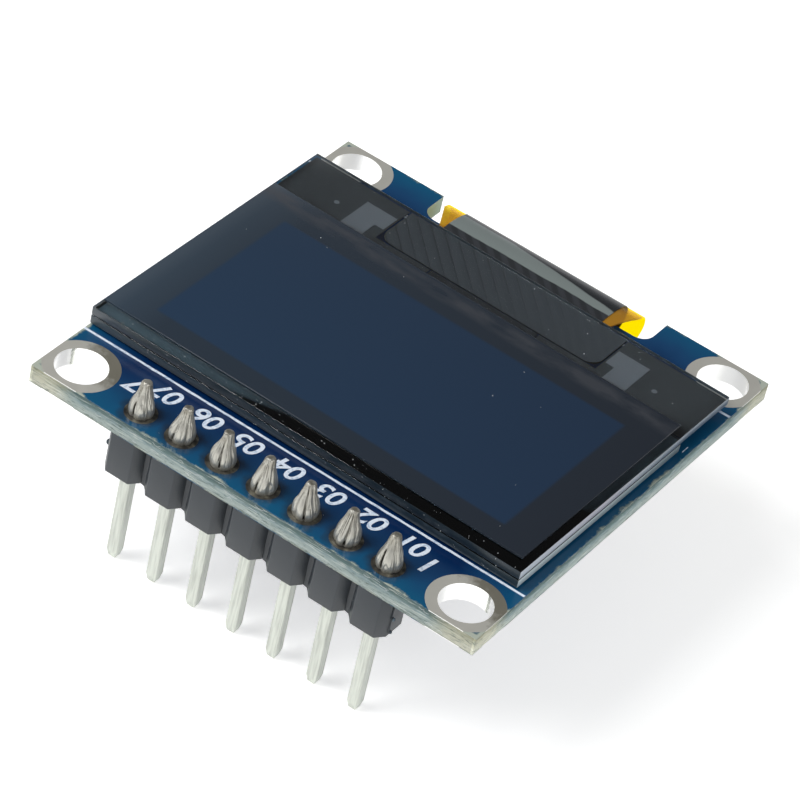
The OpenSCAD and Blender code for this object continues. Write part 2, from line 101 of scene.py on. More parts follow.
# Places in mm that no node's box gives; each pair is where a change of look begins and ends
MASK_SHADE_REACH = (11.3, 15.0)      # reach over which the painted shade beside the display gives way to teal
CORNER_REACH = (11.8, 13.2)    # reach over which the routed edge turns to its paler corners
TORN_END = (8.84, 8.9)         # reach beyond which the header strip is torn
GLASS_REACH = (9.0, 16.5)      # reach over which the long cut of the glass turns paler
FILM_ACROSS = (-13.0, 13.0)    # X from the left to the right rim of the polarizing film
FAR_GREY_BAND = (6.0, 8.0)             # Y of the patchy grey band on the polarizing film
BOND_END = (10.4, 10.2)        # Y at which the amber film goes in under the glass
LIT_HEIGHT = (1.35, 1.65)      # Z over which light comes through the amber film
FOLD_START = (11.3, 11.36)     # Y at which the coverlay leaves its flat part
FOLD_RIM_HIGHLIGHT = (13.15, 13.35)      # Y of the painted highlight along the outer rim of the fold
REFLECTION_ACROSS = (-2.0, 5.0)      # X over which the painted reflection band narrows
REFLECTION_END = (12.75, 11.75)      # Y at which the painted reflection band ends, at its left and right
FIBRE_REACH = 12.5             # loose fibres lie within this reach of the middle of an edge


def panel_turn():
    """Turn of the display panel about Z, from the far edge of its long front face."""
    top = [v.co for v in frame["nodes"]["front_glass"].data.vertices if v.co.z > glass_high.z - NEAR]
    left = min(top, key=lambda p: p.x - p.y)
    right = max(top, key=lambda p: p.x + p.y)
    return math.atan2(right.y - left.y, right.x - left.x)


PANEL_TURN = panel_turn()


# Colours and settings -------------------------------------------------------------

def linear(hex_colour):
    """sRGB hex to the linear RGBA that a shader socket takes."""
    parts = [int(hex_colour[i:i + 2], 16) / 255 for i in (1, 3, 5)]
    return tuple(c / 12.92 if c <= 0.04045 else ((c + 0.055) / 1.055) ** 2.4 for c in parts) + (1.0,)


def colour(name, description, hex_colour):
    return FloatVectorProperty(name=name, description=description, subtype="COLOR", size=4,
                               min=0, max=1, default=linear(hex_colour))


def length(name, description, millimetres):
    return FloatProperty(name=name, description=description, default=millimetres * MM,
                         unit="LENGTH", subtype="DISTANCE", precision=5)


class StageSettings(bpy.types.PropertyGroup):
    azimuth: FloatProperty(name="Azimuth", description="Camera's turn about Z; 0 looks along +Y",
                           default=math.radians(26.45), subtype="ANGLE")
    elevation: FloatProperty(name="Elevation", description="Camera's height above the horizon",
                             default=math.radians(39.15), subtype="ANGLE")
    roll: FloatProperty(name="Roll", description="Turn of the camera about its own axis",
                        default=math.radians(13.52), subtype="ANGLE")
    distance: length("Distance", "From the camera to the point it looks at", 222.36)
    look_at: FloatVectorProperty(name="Look at", description="Point that the camera looks at",
                                 default=(0.29 * MM, -0.81 * MM, 0), subtype="TRANSLATION")
    lens: FloatProperty(name="Lens", description="Focal length on a 36 mm sensor", default=196.6,
                        unit="CAMERA")
    floor_colour: colour("Floor", "Plain pale floor", "#F4F4F2")
    floor_glow: FloatProperty(name="Floor glow", description="Light the floor adds towards the camera",
                              default=0.55)
    key_power: FloatProperty(name="Key lamp", description="Power of the large soft lamp", default=0.75,
                             unit="POWER")
    fill_power: FloatProperty(name="Fill lamp", description="Power of the side lamp", default=0.2,
                              unit="POWER")
    sky_low: FloatProperty(name="Sky, low", description="Strength of the light from near the horizon",
                           default=0.55)
    sky_high: FloatProperty(name="Sky, high", description="Strength of the light from above", default=0.25)
    ceiling: FloatProperty(name="Ceiling", description="Brightness of the ceiling in reflections",
                           default=0.1)


class BoardSettings(bpy.types.PropertyGroup):
    mask_teal: colour("Mask, outer", "Solder mask towards the outline", "#0C5276")
    mask_colour: colour("Mask", "Solder mask over copper", "#123F68")
    # Painted shade: the mask is drawn darker beside the display, where the display shades it
    mask_dark: colour("Mask, inner", "Solder mask beside the display", "#03244E")
    edge_pale: colour("Edge fibres", "Pale glass fibres at the routed edge", "#DDE0D6")
    edge_dark: colour("Edge resin", "Darker resin between the fibres", "#55655F")
    ink_colour: colour("Ink", "White printed ink", "#E2EBF7")
    plating_colour: colour("Plating", "Tin levelled on copper", "#CBC9C0")
    # Painted reflection: the dark reflection drawn on one side of the front rings
    plating_dull: colour("Dull plating", "Handled and oxidised tin", "#7C786A")
    chip_depth: length("Edge relief", "Deepest streak in the routed edge", 0.05)


class HeaderSettings(bpy.types.PropertyGroup):
    plastic_colour: colour("Plastic", "Moulded strip", "#2F353B")
    pin_colour: colour("Pins", "Bright tin on brass", "#D6DAD1")
    solder_colour: colour("Solder", "Hand-soldered tin alloy", "#BDBBB2")
    # Burnt flux and painted shade: the colour drawn into the creases
    flux_colour: colour("Flux", "Burnt flux in the creases", "#2B2721")
    pleat_depth: length("Pleats", "Depth of the fine pleats in the solder", 0.055)
    slit_depth: length("Slits", "Depth of the long slit in each joint", 0.17)


class PanelSettings(bpy.types.PropertyGroup):
    glass_colour: colour("Glass", "Clear display glass", "#E8EEF0")
    film_colour: colour("Film", "Neutral polarizing film over the glass border", "#28303A")
    active_colour: colour("Active area", "Unlit emitting area under the film", "#22344B")
    ledge_dark: colour("Ledge", "Black tape behind the bonding ledge", "#26292C")
    track_colour: colour("Tracks", "Thin metal tracks", "#3B3E42")
    mark_colour: colour("Marks", "Metal angle marks", "#66686D")


class FlexSettings(bpy.types.PropertyGroup):
    amber_colour: colour("Amber", "Polyimide film", "#C9912A")
    amber_light: colour("Amber, lit", "Polyimide film with light behind it", "#FFF000")
    cover_colour: colour("Coverlay", "Dark coverlay", "#36393D")
    # Painted reflection: the pale band drawn on the fold
    cover_grey: colour("Worn coverlay", "Pale, rubbed part of the coverlay at the fold", "#7D8684")


class DustSettings(bpy.types.PropertyGroup):
    grains: IntProperty(name="Grains", description="Dust grains on the panel, board and strip", default=170,
                        min=0)
    fibres: IntProperty(name="Fibres", description="Loose glass fibres on the routed edge", default=60, min=0)
    seed: IntProperty(name="Seed", description="Seed of their places", default=7)


# Node and mesh helpers ------------------------------------------------------------

def fresh_material(name):
    material = bpy.data.materials.new(name)
    material.use_nodes = True
    material.node_tree.nodes.clear()
    return material


def node(material, kind, inputs=None, stops=None, **settings):
    """Adds a node with its settings and gives its first output in use.
    An input is a value, or the socket that feeds it."""
    made = material.node_tree.nodes.new("ShaderNode" + kind)
    for key, value in settings.items():
        setattr(made, key, value)
    for key, value in (inputs or {}).items():
        if isinstance(value, bpy.types.NodeSocket):
            material.node_tree.links.new(value, made.inputs[key])
        else:
            made.inputs[key].default_value = value
    if stops:
        ramp = made.color_ramp
        while len(ramp.elements) < len(stops):
            ramp.elements.new(0.5)
        for element, (place, value) in zip(ramp.elements, stops):
            element.position = place
            element.color = linear(value) if isinstance(value, str) else value
    return next((socket for socket in made.outputs if socket.enabled), None)


def in_millimetres(material, scale=(1, 1, 1), turn=0.0, centre=(0, 0, 0)):
    """Object coordinates in millimetres from a centre, turned about Z, then scaled."""
    place = node(material, "TexCoord").node.outputs["Object"]
    moved = node(material, "Mapping", {"Vector": place, "Location": [-c for c in centre]})
    return node(material, "Mapping",
                {"Vector": moved, "Rotation": (0, 0, -turn), "Scale": [s / MM for s in scale]})


def spot(material):
    """X, Y and Z of the shaded point, in millimetres."""
    return node(material, "SeparateXYZ", {0: in_millimetres(material)}).node.outputs


def squareness(material, axis):
    """How squarely a face looks along an axis, either way: 1 when it faces it, 0 when it lies along it."""
    normal = node(material, "NewGeometry").node.outputs["Normal"]
    part = node(material, "SeparateXYZ", {0: normal}).node.outputs[axis]
    return node(material, "Math", {0: part}, operation="ABSOLUTE")


def span(low, high, side="From"):
    """The two ends of a range that a MapRange node reads, or writes when side is To."""
    return {side + " Min": low, side + " Max": high}


def dimmed(shade, share):
    """A share of a linear colour's brightness."""
    return [c * share for c in shade[:3]] + [1]


def finish_surface(material, shader):
    node(material, "OutputMaterial", {"Surface": shader})
    return material


def dress(material, *names):
    """Gives CAD nodes a finish."""
    for name in names:
        mesh = frame["nodes"][name].data
        mesh.materials.clear()
        mesh.materials.append(material)


def add_piece(obj, name, slot_name, material, *replaced):
    obj.name = name
    obj.data.name = name
    obj.data.materials.clear()
    obj.data.materials.append(material)
    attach(obj, "root")
    if replaced:
        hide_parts(*replaced)
    return obj


def pick_only(*objs):
    if bpy.context.object and bpy.context.object.mode != "OBJECT":
        bpy.ops.object.mode_set(mode="OBJECT")
    bpy.ops.object.select_all(action="DESELECT")
    for obj in objs:
        obj.select_set(True)
    bpy.context.view_layer.objects.active = objs[-1]


def settle(obj):
    """Puts the object's place, turn and size into its mesh."""
    pick_only(obj)
    bpy.ops.object.transform_apply(location=True, rotation=True, scale=True)
    return obj


def copy_of(name, whole=True):
    """A merged copy of a CAD node, to be worked on, with its flat faces made whole if wanted."""
    obj = bpy.data.objects.new(name + "_dressed", frame["nodes"][name].data.copy())
    bpy.context.scene.collection.objects.link(obj)
    pick_only(obj)
    bpy.ops.object.mode_set(mode="EDIT")
    bpy.ops.mesh.select_all(action="SELECT")
    bpy.ops.mesh.remove_doubles(threshold=NEAR)
    if whole:
        bpy.ops.mesh.dissolve_limited(angle_limit=FLAT)
    bpy.ops.object.mode_set(mode="OBJECT")
    return obj


def pick_in_mesh(obj, kind, wanted):
    """Selects, in edit mode, only the verts, edges or faces for which wanted is true; gives their number."""
    pick_only(obj)
    bpy.ops.object.mode_set(mode="EDIT")
    bpy.ops.mesh.select_mode(type={"verts": "VERT", "edges": "EDGE", "faces": "FACE"}[kind])
    bpy.ops.mesh.select_all(action="DESELECT")
    shape = bmesh.from_edit_mesh(obj.data)
    shape.normal_update()
    picked = [part for part in getattr(shape, kind) if wanted(part)]
    for part in picked:
        part.select = True
    shape.select_flush_mode()
    bmesh.update_edit_mesh(obj.data)
    return len(picked)


def round_edges(obj, width_mm, shortest_mm):
    """Rounds the sharp edges that are long enough for it."""
    if pick_in_mesh(obj, "edges", lambda e: len(e.link_faces) == 2 and e.calc_length() > shortest_mm * MM
                    and e.calc_face_angle() > math.radians(25)):
        bpy.ops.mesh.bevel(offset=width_mm * MM, segments=2, clamp_overlap=False)
    bpy.ops.object.mode_set(mode="OBJECT")
    bpy.ops.object.shade_smooth_by_angle(angle=math.radians(35))
    return obj


def join(objs):
    pick_only(*objs)
    bpy.ops.object.join()
    return bpy.context.object


# Materials ------------------------------------------------------------------------

def solder_mask_material(settings):
    """Liquid photo-imaged solder mask: glossy blue epoxy with painted shade that darkens it beside the
    display, stained by flux and painted with the joints' shadow round the pins, and chipped down to the
    laminate along the routed outline."""
    m = fresh_material("blue solder mask")
    where = in_millimetres(m)
    place = node(m, "SeparateXYZ", {0: where}).node.outputs
    reach_x = node(m, "Math", {0: place["X"]}, operation="ABSOLUTE")
    reach_y = node(m, "Math", {0: place["Y"]}, operation="ABSOLUTE")
    cloud = node(m, "TexNoise", {"Vector": where, "Scale": 1 / 3.5, "Detail": 3.0})
    outwards = node(m, "Math", {0: reach_x, 1: reach_y}, operation="MAXIMUM")
    outwards = node(m, "Math", {0: cloud, 1: 2.4, 2: outwards}, operation="MULTIPLY_ADD")
    depth = node(m, "MapRange", {"Value": outwards, **span(*MASK_SHADE_REACH)})
    # Painted shade: from dark beside the display, through the mask's own blue, to teal at the outline
    tint = node(m, "ValToRGB", {0: depth}, stops=[
        (0.0, settings.mask_dark), (0.5, settings.mask_colour), (1.0, settings.mask_teal)])

    # Burnt flux round each pin, with painted shadow of the joint in the same dark ring
    from_pin = node(m, "Math", {0: place["X"], 1: PITCH / 2, 2: -PITCH / 2}, operation="WRAP")
    from_row = node(m, "Math", {0: place["Y"], 1: -pin_places[0].y / MM}, operation="ADD")
    offset = node(m, "CombineXYZ", {"X": from_pin, "Y": from_row})
    radius = node(m, "VectorMath", {0: offset}, operation="LENGTH").node.outputs["Value"]
    mottling = node(m, "TexNoise", {"Vector": where, "Scale": 1 / 0.6, "Detail": 4.0})
    spread = node(m, "Math", {0: mottling, 1: -0.9, 2: radius}, operation="MULTIPLY_ADD")
    ring = node(m, "MapRange", {"Value": spread, **span(0.3, 0.85), **span(0.75, 0.0, "To")})
    among_pins = node(m, "Math", {0: reach_x, 1: (PIN_COUNT / 2) * PITCH}, operation="LESS_THAN")
    flux_and_shadow = node(m, "Math", {0: ring, 1: among_pins}, operation="MULTIPLY")
    tint = node(m, "Mix", {"Factor": flux_and_shadow, "A": tint, "B": linear("#23262B")}, data_type="RGBA")

    to_side = node(m, "Math", {0: board_high.x / MM, 1: reach_x}, operation="SUBTRACT")
    to_end = node(m, "Math", {0: board_high.y / MM, 1: reach_y}, operation="SUBTRACT")
    inset = node(m, "Math", {0: to_side, 1: to_end}, operation="MINIMUM")
    corner = node(m, "Math", {0: to_side, 1: to_end}, operation="MAXIMUM")
    corner = node(m, "MapRange", {"Value": corner, **span(1.0, 3.5), **span(0.35, 0.0, "To")})
    nibbles = node(m, "TexNoise", {"Vector": where, "Scale": 1 / 1.6, "Detail": 9.0, "Roughness": 0.68})
    bite = node(m, "Math", {0: nibbles, 1: 1.5, 2: corner}, operation="MULTIPLY_ADD")
    left = node(m, "Math", {0: inset, 1: bite}, operation="SUBTRACT")
    bare = node(m, "MapRange", {"Value": left, **span(-0.68, -0.86)})
    chip_tint = node(m, "ValToRGB", {0: bare}, stops=[(0.0, "#2C5058"), (0.4, "#6F7F74"), (1.0, "#AAB1A4")])
    tint = node(m, "Mix", {"Factor": bare, "A": tint, "B": chip_tint}, data_type="RGBA")
    rough = node(m, "MapRange", {"Value": bare, **span(0.18, 0.7, "To")})
    ripple = node(m, "TexNoise", {"Vector": where, "Scale": 1 / 0.35, "Detail": 2.0})
    bump = node(m, "Bump", {"Height": ripple, "Strength": 0.12, "Distance": 0.00002})
    return finish_surface(m, node(m, "BsdfPrincipled", {"Base Color": tint, "Roughness": rough, "IOR": 1.5,
                                                        "Normal": bump}))


def laminate_material(settings):
    """Routed FR-4, glass cloth in epoxy cut across its weave: pale fibres lie in streaks along the edge
    with darker resin between them, ink tints the upper third, the corners are paler, the two end faces are
    made brighter, and the walls of the notch carry a painted glint."""
    m = fresh_material("routed FR-4 laminate")
    place = spot(m)
    height = node(m, "MapRange", {"Value": place["Z"], **span(board_low.z / MM, board_high.z / MM),
                                  **span(-0.22, 0.78, "To")})
    streaks = node(m, "TexNoise",
                   {"Vector": in_millimetres(m, scale=(0.7, 0.7, 4)), "Scale": 1.3, "Detail": 8.0,
                    "Roughness": 0.72})
    level = node(m, "Math", {0: streaks, 1: 0.5, 2: height}, operation="MULTIPLY_ADD")
    long_edge = node(m, "ValToRGB", {0: level}, stops=[
        (0.05, "#AEBAB6"), (0.35, "#9BA9A6"), (0.6, "#84979A"), (0.76, "#57706F"), (1.0, "#3B5356")])
    corner_edge = node(m, "ValToRGB", {0: level},
                       stops=[(0.1, "#CFCFBE"), (0.6, "#BCBCA8"), (1.0, "#97967D")])
    reach_x = node(m, "Math", {0: place["X"]}, operation="ABSOLUTE")
    reach_y = node(m, "Math", {0: place["Y"]}, operation="ABSOLUTE")
    corner = node(m, "Math", {0: reach_x, 1: reach_y}, operation="MINIMUM")
    corner = node(m, "Math", {0: streaks, 1: 2.0, 2: corner}, operation="MULTIPLY_ADD")
    corner = node(m, "MapRange", {"Value": corner, **span(*CORNER_REACH)})
    tint = node(m, "Mix", {"Factor": corner, "A": long_edge, "B": corner_edge}, data_type="RGBA")

    fibres = node(m, "TexNoise",
                  {"Vector": in_millimetres(m, scale=(0.45, 0.45, 9)), "Scale": 2.0, "Detail": 6.0,
                   "Roughness": 0.65})
    bright = node(m, "MapRange", {"Value": fibres, **span(0.55, 0.66), "To Max": 0.7})
    flecks = node(m, "TexNoise", {"Vector": in_millimetres(m, scale=(0.4, 0.4, 1.6)), "Scale": 1 / 0.13,
                                  "Detail": 5.0, "Roughness": 0.7})
    dark = node(m, "Math", {0: fibres, 1: flecks}, operation="ADD")
    dark = node(m, "MapRange", {"Value": dark, **span(0.95, 0.8), "To Max": 0.85})
    tint = node(m, "Mix", {"Factor": bright, "A": tint, "B": settings.edge_pale}, data_type="RGBA")
    tint = node(m, "Mix", {"Factor": dark, "A": tint, "B": settings.edge_dark}, data_type="RGBA")

    # Painted glint: the walls of the notch are drawn pale green-white
    sideways = node(m, "Math", {0: squareness(m, "X"), 1: 0.6}, operation="GREATER_THAN")
    inside = node(m, "Math", {0: reach_x, 1: 0.8 * board_high.x / MM}, operation="LESS_THAN")
    notch_glint = node(m, "Math", {0: sideways, 1: inside}, operation="MULTIPLY")
    tint = node(m, "Mix", {"Factor": notch_glint, "A": tint, "B": linear("#D6EBD4")}, data_type="RGBA")
    outer = node(m, "Math", {0: reach_x, 1: 0.99 * board_high.x / MM}, operation="GREATER_THAN")
    lift = node(m, "MapRange", {"Value": outer, **span(1.0, 1.4, "To")})
    tint = node(m, "HueSaturation", {"Color": tint, "Value": lift})
    bump = node(m, "Bump", {"Height": fibres, "Strength": 0.5, "Distance": 0.00004})
    return finish_surface(m, node(m, "BsdfPrincipled", {"Base Color": tint, "Roughness": 0.75, "IOR": 1.55,
                                                        "Normal": bump}))


def ink_material(settings):
    """Screen-printed epoxy ink: matt white, thin in spots where the screen left it."""
    m = fresh_material("white legend ink")
    grain = node(m, "TexNoise", {"Vector": in_millimetres(m), "Scale": 1 / 0.2, "Detail": 4.0})
    cover = node(m, "MapRange", {"Value": grain, **span(0.3, 0.5)})
    tint = node(m, "Mix", {"Factor": cover, "A": linear("#A9BDD6"), "B": settings.ink_colour},
                data_type="RGBA")
    return finish_surface(m, node(m, "BsdfPrincipled", {"Base Color": tint, "Roughness": 0.55}))


def plating_material(settings):
    """Hot-air-levelled tin: pale soft metal, slightly lumpy, with a painted dark reflection on one side of the
    front rings, and a paler, mirror-smooth copy of the tin on the walls of the holes as a painted highlight."""
    m = fresh_material("levelled tin plating")
    where = in_millimetres(m)
    place = node(m, "SeparateXYZ", {0: where}).node.outputs
    half_x, half_y = corner_holes["spacing_x_mm"] / 2, corner_holes["spacing_y_mm"] / 2
    local_x = node(m, "Math", {0: place["X"], 1: 2 * half_x, 2: 0.0}, operation="WRAP")
    local_x = node(m, "Math", {0: local_x, 1: half_x}, operation="SUBTRACT")
    local_y = node(m, "Math", {0: place["Y"], 1: 2 * half_y, 2: 0.0}, operation="WRAP")
    local_y = node(m, "Math", {0: local_y, 1: half_y}, operation="SUBTRACT")
    lumps = node(m, "TexNoise", {"Vector": where, "Scale": 1 / 0.8, "Detail": 5.0, "Roughness": 0.65})
    lean = node(m, "Math", {0: local_x, 1: 0.25, 2: lumps}, operation="MULTIPLY_ADD")
    lean = node(m, "Math", {0: local_y, 1: 0.3, 2: lean}, operation="MULTIPLY_ADD")
    # Painted reflection: a dark patch on the +X, +Y side of each front ring, drawn by place
    near_row = node(m, "Math", {0: place["Y"], 1: 0.0}, operation="LESS_THAN")
    dark_reflection = node(m, "MapRange", {"Value": lean, **span(0.66, 1.0), "To Max": 0.9})
    dark_reflection = node(m, "Math", {0: dark_reflection, 1: near_row}, operation="MULTIPLY")
    tint = node(m, "Mix", {"Factor": dark_reflection, "A": settings.plating_colour, "B": settings.plating_dull},
                data_type="RGBA")
    # Painted highlight: the hole walls get a paler, mirror-smooth copy of the tin so that they read bright
    wall = node(m, "Math", {0: squareness(m, "Z"), 1: 0.5}, operation="LESS_THAN")
    tint = node(m, "Mix", {"Factor": wall, "A": tint, "B": linear("#FAFAF8")}, data_type="RGBA")
    dull = node(m, "MapRange", {"Value": lumps, **span(0.35, 0.65), **span(0.3, 0.5, "To")})
    dull = node(m, "Mix", {"Factor": wall, "A": dull, "B": 0.12})
    metal = node(m, "MapRange", {"Value": wall, **span(0.4, 1.0, "To")})
    bump = node(m, "Bump", {"Height": lumps, "Strength": 0.35, "Distance": 0.00004})
    return finish_surface(m,
                          node(m, "BsdfPrincipled", {"Base Color": tint, "Metallic": metal, "Roughness": dull,
                                                     "Normal": bump}))


def header_plastic_material(settings):
    """Moulded glass-filled nylon: dark grey satin with a fine grain; where cells were snapped off it is
    torn, rough and a little greener."""
    m = fresh_material("moulded nylon")
    where = in_millimetres(m)
    place = node(m, "SeparateXYZ", {0: where}).node.outputs
    grain = node(m, "TexNoise", {"Vector": where, "Scale": 1 / 0.07, "Detail": 2.0})
    cloud = node(m, "TexNoise", {"Vector": where, "Scale": 1 / 0.9, "Detail": 4.0})
    darker = dimmed(settings.plastic_colour, 0.86)
    tint = node(m, "Mix", {"Factor": cloud, "A": darker, "B": settings.plastic_colour}, data_type="RGBA")
    tear = node(m, "TexNoise",
                {"Vector": in_millimetres(m, scale=(1, 1, 0.5)), "Scale": 1 / 0.22, "Detail": 5.0,
                 "Roughness": 0.7})
    torn_tint = node(m, "ValToRGB", {0: tear}, stops=[(0.35, "#23292E"), (0.5, "#46545E"), (0.7, "#63737D")])
    reach = node(m, "Math", {0: place["X"]}, operation="ABSOLUTE")
    torn = node(m, "MapRange", {"Value": reach, **span(*TORN_END)})
    tint = node(m, "Mix", {"Factor": torn, "A": tint, "B": torn_tint}, data_type="RGBA")
    relief = node(m, "Mix", {"Factor": torn, "A": grain, "B": tear})
    rough = node(m, "MapRange", {"Value": torn, **span(0.42, 0.7, "To")})
    bump = node(m, "Bump", {"Height": relief, "Strength": 0.3, "Distance": 0.00002})
    return finish_surface(m, node(m, "BsdfPrincipled", {"Base Color": tint, "Roughness": rough, "IOR": 1.53,
                                                        "Normal": bump}))


def pin_material(settings):
    """Tin-plated drawn brass wire: pale satin metal with faint lengthwise draw lines."""
    m = fresh_material("tin-plated pin")
    lines = node(m, "TexNoise", {"Vector": in_millimetres(m, scale=(8, 8, 0.5)), "Scale": 1.0, "Detail": 4.0})
    darker = dimmed(settings.pin_colour, 0.72)
    streak = node(m, "MapRange", {"Value": lines, **span(0.32, 0.6)})
    tint = node(m, "Mix", {"Factor": streak, "A": darker, "B": settings.pin_colour}, data_type="RGBA")
    rough = node(m, "MapRange", {"Value": lines, **span(0.25, 0.5, "To")})
    bump = node(m, "Bump", {"Height": lines, "Strength": 0.25, "Distance": 0.00002})
    return finish_surface(m,
                          node(m, "BsdfPrincipled", {"Base Color": tint, "Metallic": 0.6, "Roughness": rough,
                                                     "Normal": bump}))


def solder_material(settings):
    """Hand-soldered joint: satin grey metal, browned towards the pin's tip, with burnt flux and painted shade
    darkening its creases."""
    m = fresh_material("solder")
    where = in_millimetres(m)
    place = node(m, "SeparateXYZ", {0: where}).node.outputs
    wrinkles = node(m, "TexNoise",
                    {"Vector": in_millimetres(m, scale=(1, 1, 0.3)), "Scale": 1 / 0.15, "Detail": 4.0,
                     "Roughness": 0.7})
    bump = node(m, "Bump", {"Height": wrinkles, "Strength": 0.4, "Distance": 0.00003})
    # Painted shade: ambient occlusion darkens the creases towards the flux colour
    crease = node(m, "AmbientOcclusion", {"Distance": 0.0002, "Normal": bump}, samples=8,
                  only_local=True).node.outputs["AO"]
    unshaded = node(m, "MapRange", {"Value": crease, **span(0.35, 0.85)})
    tip = node(m, "MapRange", {"Value": place["Z"], **span(joint_top / MM - 0.9, joint_top / MM),
                               "To Max": 0.75})
    blotch = node(m, "TexNoise", {"Vector": where, "Scale": 1 / 0.3, "Detail": 4.0})
    blotch = node(m, "MapRange", {"Value": blotch, **span(0.35, 0.6)})
    tip = node(m, "Math", {0: tip, 1: blotch}, operation="MULTIPLY")
    metal = node(m, "Mix", {"Factor": tip, "A": settings.solder_colour, "B": linear("#7D7667")},
                 data_type="RGBA")
    tint = node(m, "Mix", {"Factor": unshaded, "A": settings.flux_colour, "B": metal}, data_type="RGBA")
    return finish_surface(m,
                          node(m, "BsdfPrincipled", {"Base Color": tint, "Metallic": 0.7, "Roughness": 0.34,
                                                     "Normal": bump}))


def fluxed_pad_material():
    """Tinned pad under a skin of burnt flux: brown-grey, between satin and gloss."""
    m = fresh_material("fluxed pad")
    cloud = node(m, "TexNoise", {"Vector": in_millimetres(m), "Scale": 1 / 0.4, "Detail": 5.0})
    tint = node(m, "ValToRGB", {0: cloud}, stops=[(0.35, "#2B2A28"), (0.55, "#56534A"), (0.75, "#8C8878")])
    bump = node(m, "Bump", {"Height": cloud, "Strength": 0.4, "Distance": 0.00003})
    return finish_surface(m,
                          node(m, "BsdfPrincipled", {"Base Color": tint, "Metallic": 0.3, "Roughness": 0.35,
                                                     "Normal": bump}))


def glass_material(settings, name, end_stops, face_stops):
    """Scribed and broken soda-lime glass: clear faces; its cut sides are frosted, pale grey at the ends and
    dark and mottled along the length, where the cut looks into the panel."""
    m = fresh_material(name)
    side = node(m, "Math", {0: squareness(m, "Z"), 1: 0.5}, operation="LESS_THAN")
    endways = node(m, "Math", {0: squareness(m, "X"), 1: 0.7}, operation="GREATER_THAN")
    place = spot(m)
    mottle = node(m, "TexNoise",
                  {"Vector": in_millimetres(m, scale=(1, 1, 2)), "Scale": 1 / 0.5, "Detail": 6.0,
                   "Roughness": 0.7})
    along = node(m, "Math", {0: mottle, 1: 3.0, 2: place["Y"]}, operation="MULTIPLY_ADD")
    along = node(m, "MapRange", {"Value": along, **span(glass_low.y / MM, glass_high.y / MM)})
    end_tint = node(m, "ValToRGB", {0: along}, stops=end_stops)
    reach = node(m, "Math", {0: place["X"]}, operation="ABSOLUTE")
    reach = node(m, "Math", {0: mottle, 1: 4.0, 2: reach}, operation="MULTIPLY_ADD")
    reach = node(m, "MapRange", {"Value": reach, **span(*GLASS_REACH)})
    face_tint = node(m, "ValToRGB", {0: reach}, stops=face_stops)
    cut = node(m, "Mix", {"Factor": endways, "A": face_tint, "B": end_tint}, data_type="RGBA")
    frosted = node(m, "BsdfPrincipled", {"Base Color": cut, "Roughness": 0.3, "IOR": 1.52})
    clear = node(m, "BsdfPrincipled", {"Base Color": settings.glass_colour, "Roughness": 0.03, "IOR": 1.52,
                                       "Transmission Weight": 1.0})
    shadow = node(m, "BsdfTransparent", {"Color": linear("#E0E4E6")})
    shaded = node(m, "LightPath").node.outputs["Is Shadow Ray"]
    lit = node(m, "MixShader", {0: shaded, 1: clear, 2: shadow})
    return finish_surface(m, node(m, "MixShader", {0: side, 1: lit, 2: frosted}))


def film_material(settings):
    """Polarizing film: a smooth dark neutral gloss. The emitting area shows through it dark blue with soft
    borders, the left rim is paler, and a patchy grey band lies along the far edge."""
    m = fresh_material("polarizing film")
    where = in_millimetres(m, turn=PANEL_TURN, centre=middle("emitter_layer"))
    place = node(m, "SeparateXYZ", {0: where}).node.outputs
    half = (emitter_high - emitter_low) / 2 / MM
    # The box of the turned area is larger than the area by its turn
    tilt = abs(math.sin(PANEL_TURN))
    half_x, half_y = half.x - half.y * tilt, half.y - half.x * tilt
    soft = []
    for axis, size in (("X", half_x), ("Y", half_y)):
        reach = node(m, "Math", {0: place[axis]}, operation="ABSOLUTE")
        soft.append(node(m, "MapRange", {"Value": reach, **span(size + 0.12, size - 0.12)},
                         interpolation_type="SMOOTHSTEP"))
    active = node(m, "Math", {0: soft[0], 1: soft[1]}, operation="MULTIPLY")
    across = node(m, "MapRange", {"Value": place["X"], **span(*FILM_ACROSS)})
    surround = node(m, "ValToRGB", {0: across}, stops=[(0.0, "#3F4A55"), (0.03, "#34404C"), (0.12, "#2A343F"),
                                                       (0.6, settings.film_colour), (1.0, "#262C35")])
    lit_area = node(m, "ValToRGB", {0: across}, stops=[(0.0, "#25384E"), (1.0, settings.active_colour)])
    tint = node(m, "Mix", {"Factor": active, "A": surround, "B": lit_area}, data_type="RGBA")
    # A patchy grey band along the far edge, drawn by place
    patches = node(m, "TexNoise",
                   {"Vector": in_millimetres(m, scale=(0.35, 1, 1)), "Scale": 1 / 0.8, "Detail": 4.0})
    mottling = node(m, "ValToRGB", {0: node(m, "MapRange", {"Value": place["Y"], **span(*FAR_GREY_BAND)})},
                 stops=[(0.1, "#000000"), (0.35, "#FFFFFF"), (0.6, "#FFFFFF"), (0.8, "#000000")])
    strength = node(m, "MapRange", {"Value": patches, **span(0.35, 0.6), "To Max": 0.8})
    mottling = node(m, "Math", {0: mottling, 1: strength}, operation="MULTIPLY")
    tint = node(m, "Mix", {"Factor": mottling, "A": tint, "B": linear("#42454B")}, data_type="RGBA")
    return finish_surface(m, node(m, "BsdfPrincipled", {"Base Color": tint, "Roughness": 0.16, "IOR": 1.49}))


def plain_material(name, shade, roughness, metallic=0.0, grain_mm=0.3, grain_depth=0.00001, lift=0.12):
    """A surface of one colour with its own grain: the colour drifts a little and the grain catches light."""
    m = fresh_material(name)
    grain = node(m, "TexNoise", {"Vector": in_millimetres(m), "Scale": 1 / grain_mm, "Detail": 4.0})
    darker = dimmed(shade, 1 - lift)
    tint = node(m, "Mix", {"Factor": grain, "A": darker, "B": shade}, data_type="RGBA")
    bump = node(m, "Bump", {"Height": grain, "Strength": 0.3, "Distance": grain_depth})
    return finish_surface(m, node(m, "BsdfPrincipled", {"Base Color": tint, "Roughness": roughness,
                                                        "Metallic": metallic, "Normal": bump}))


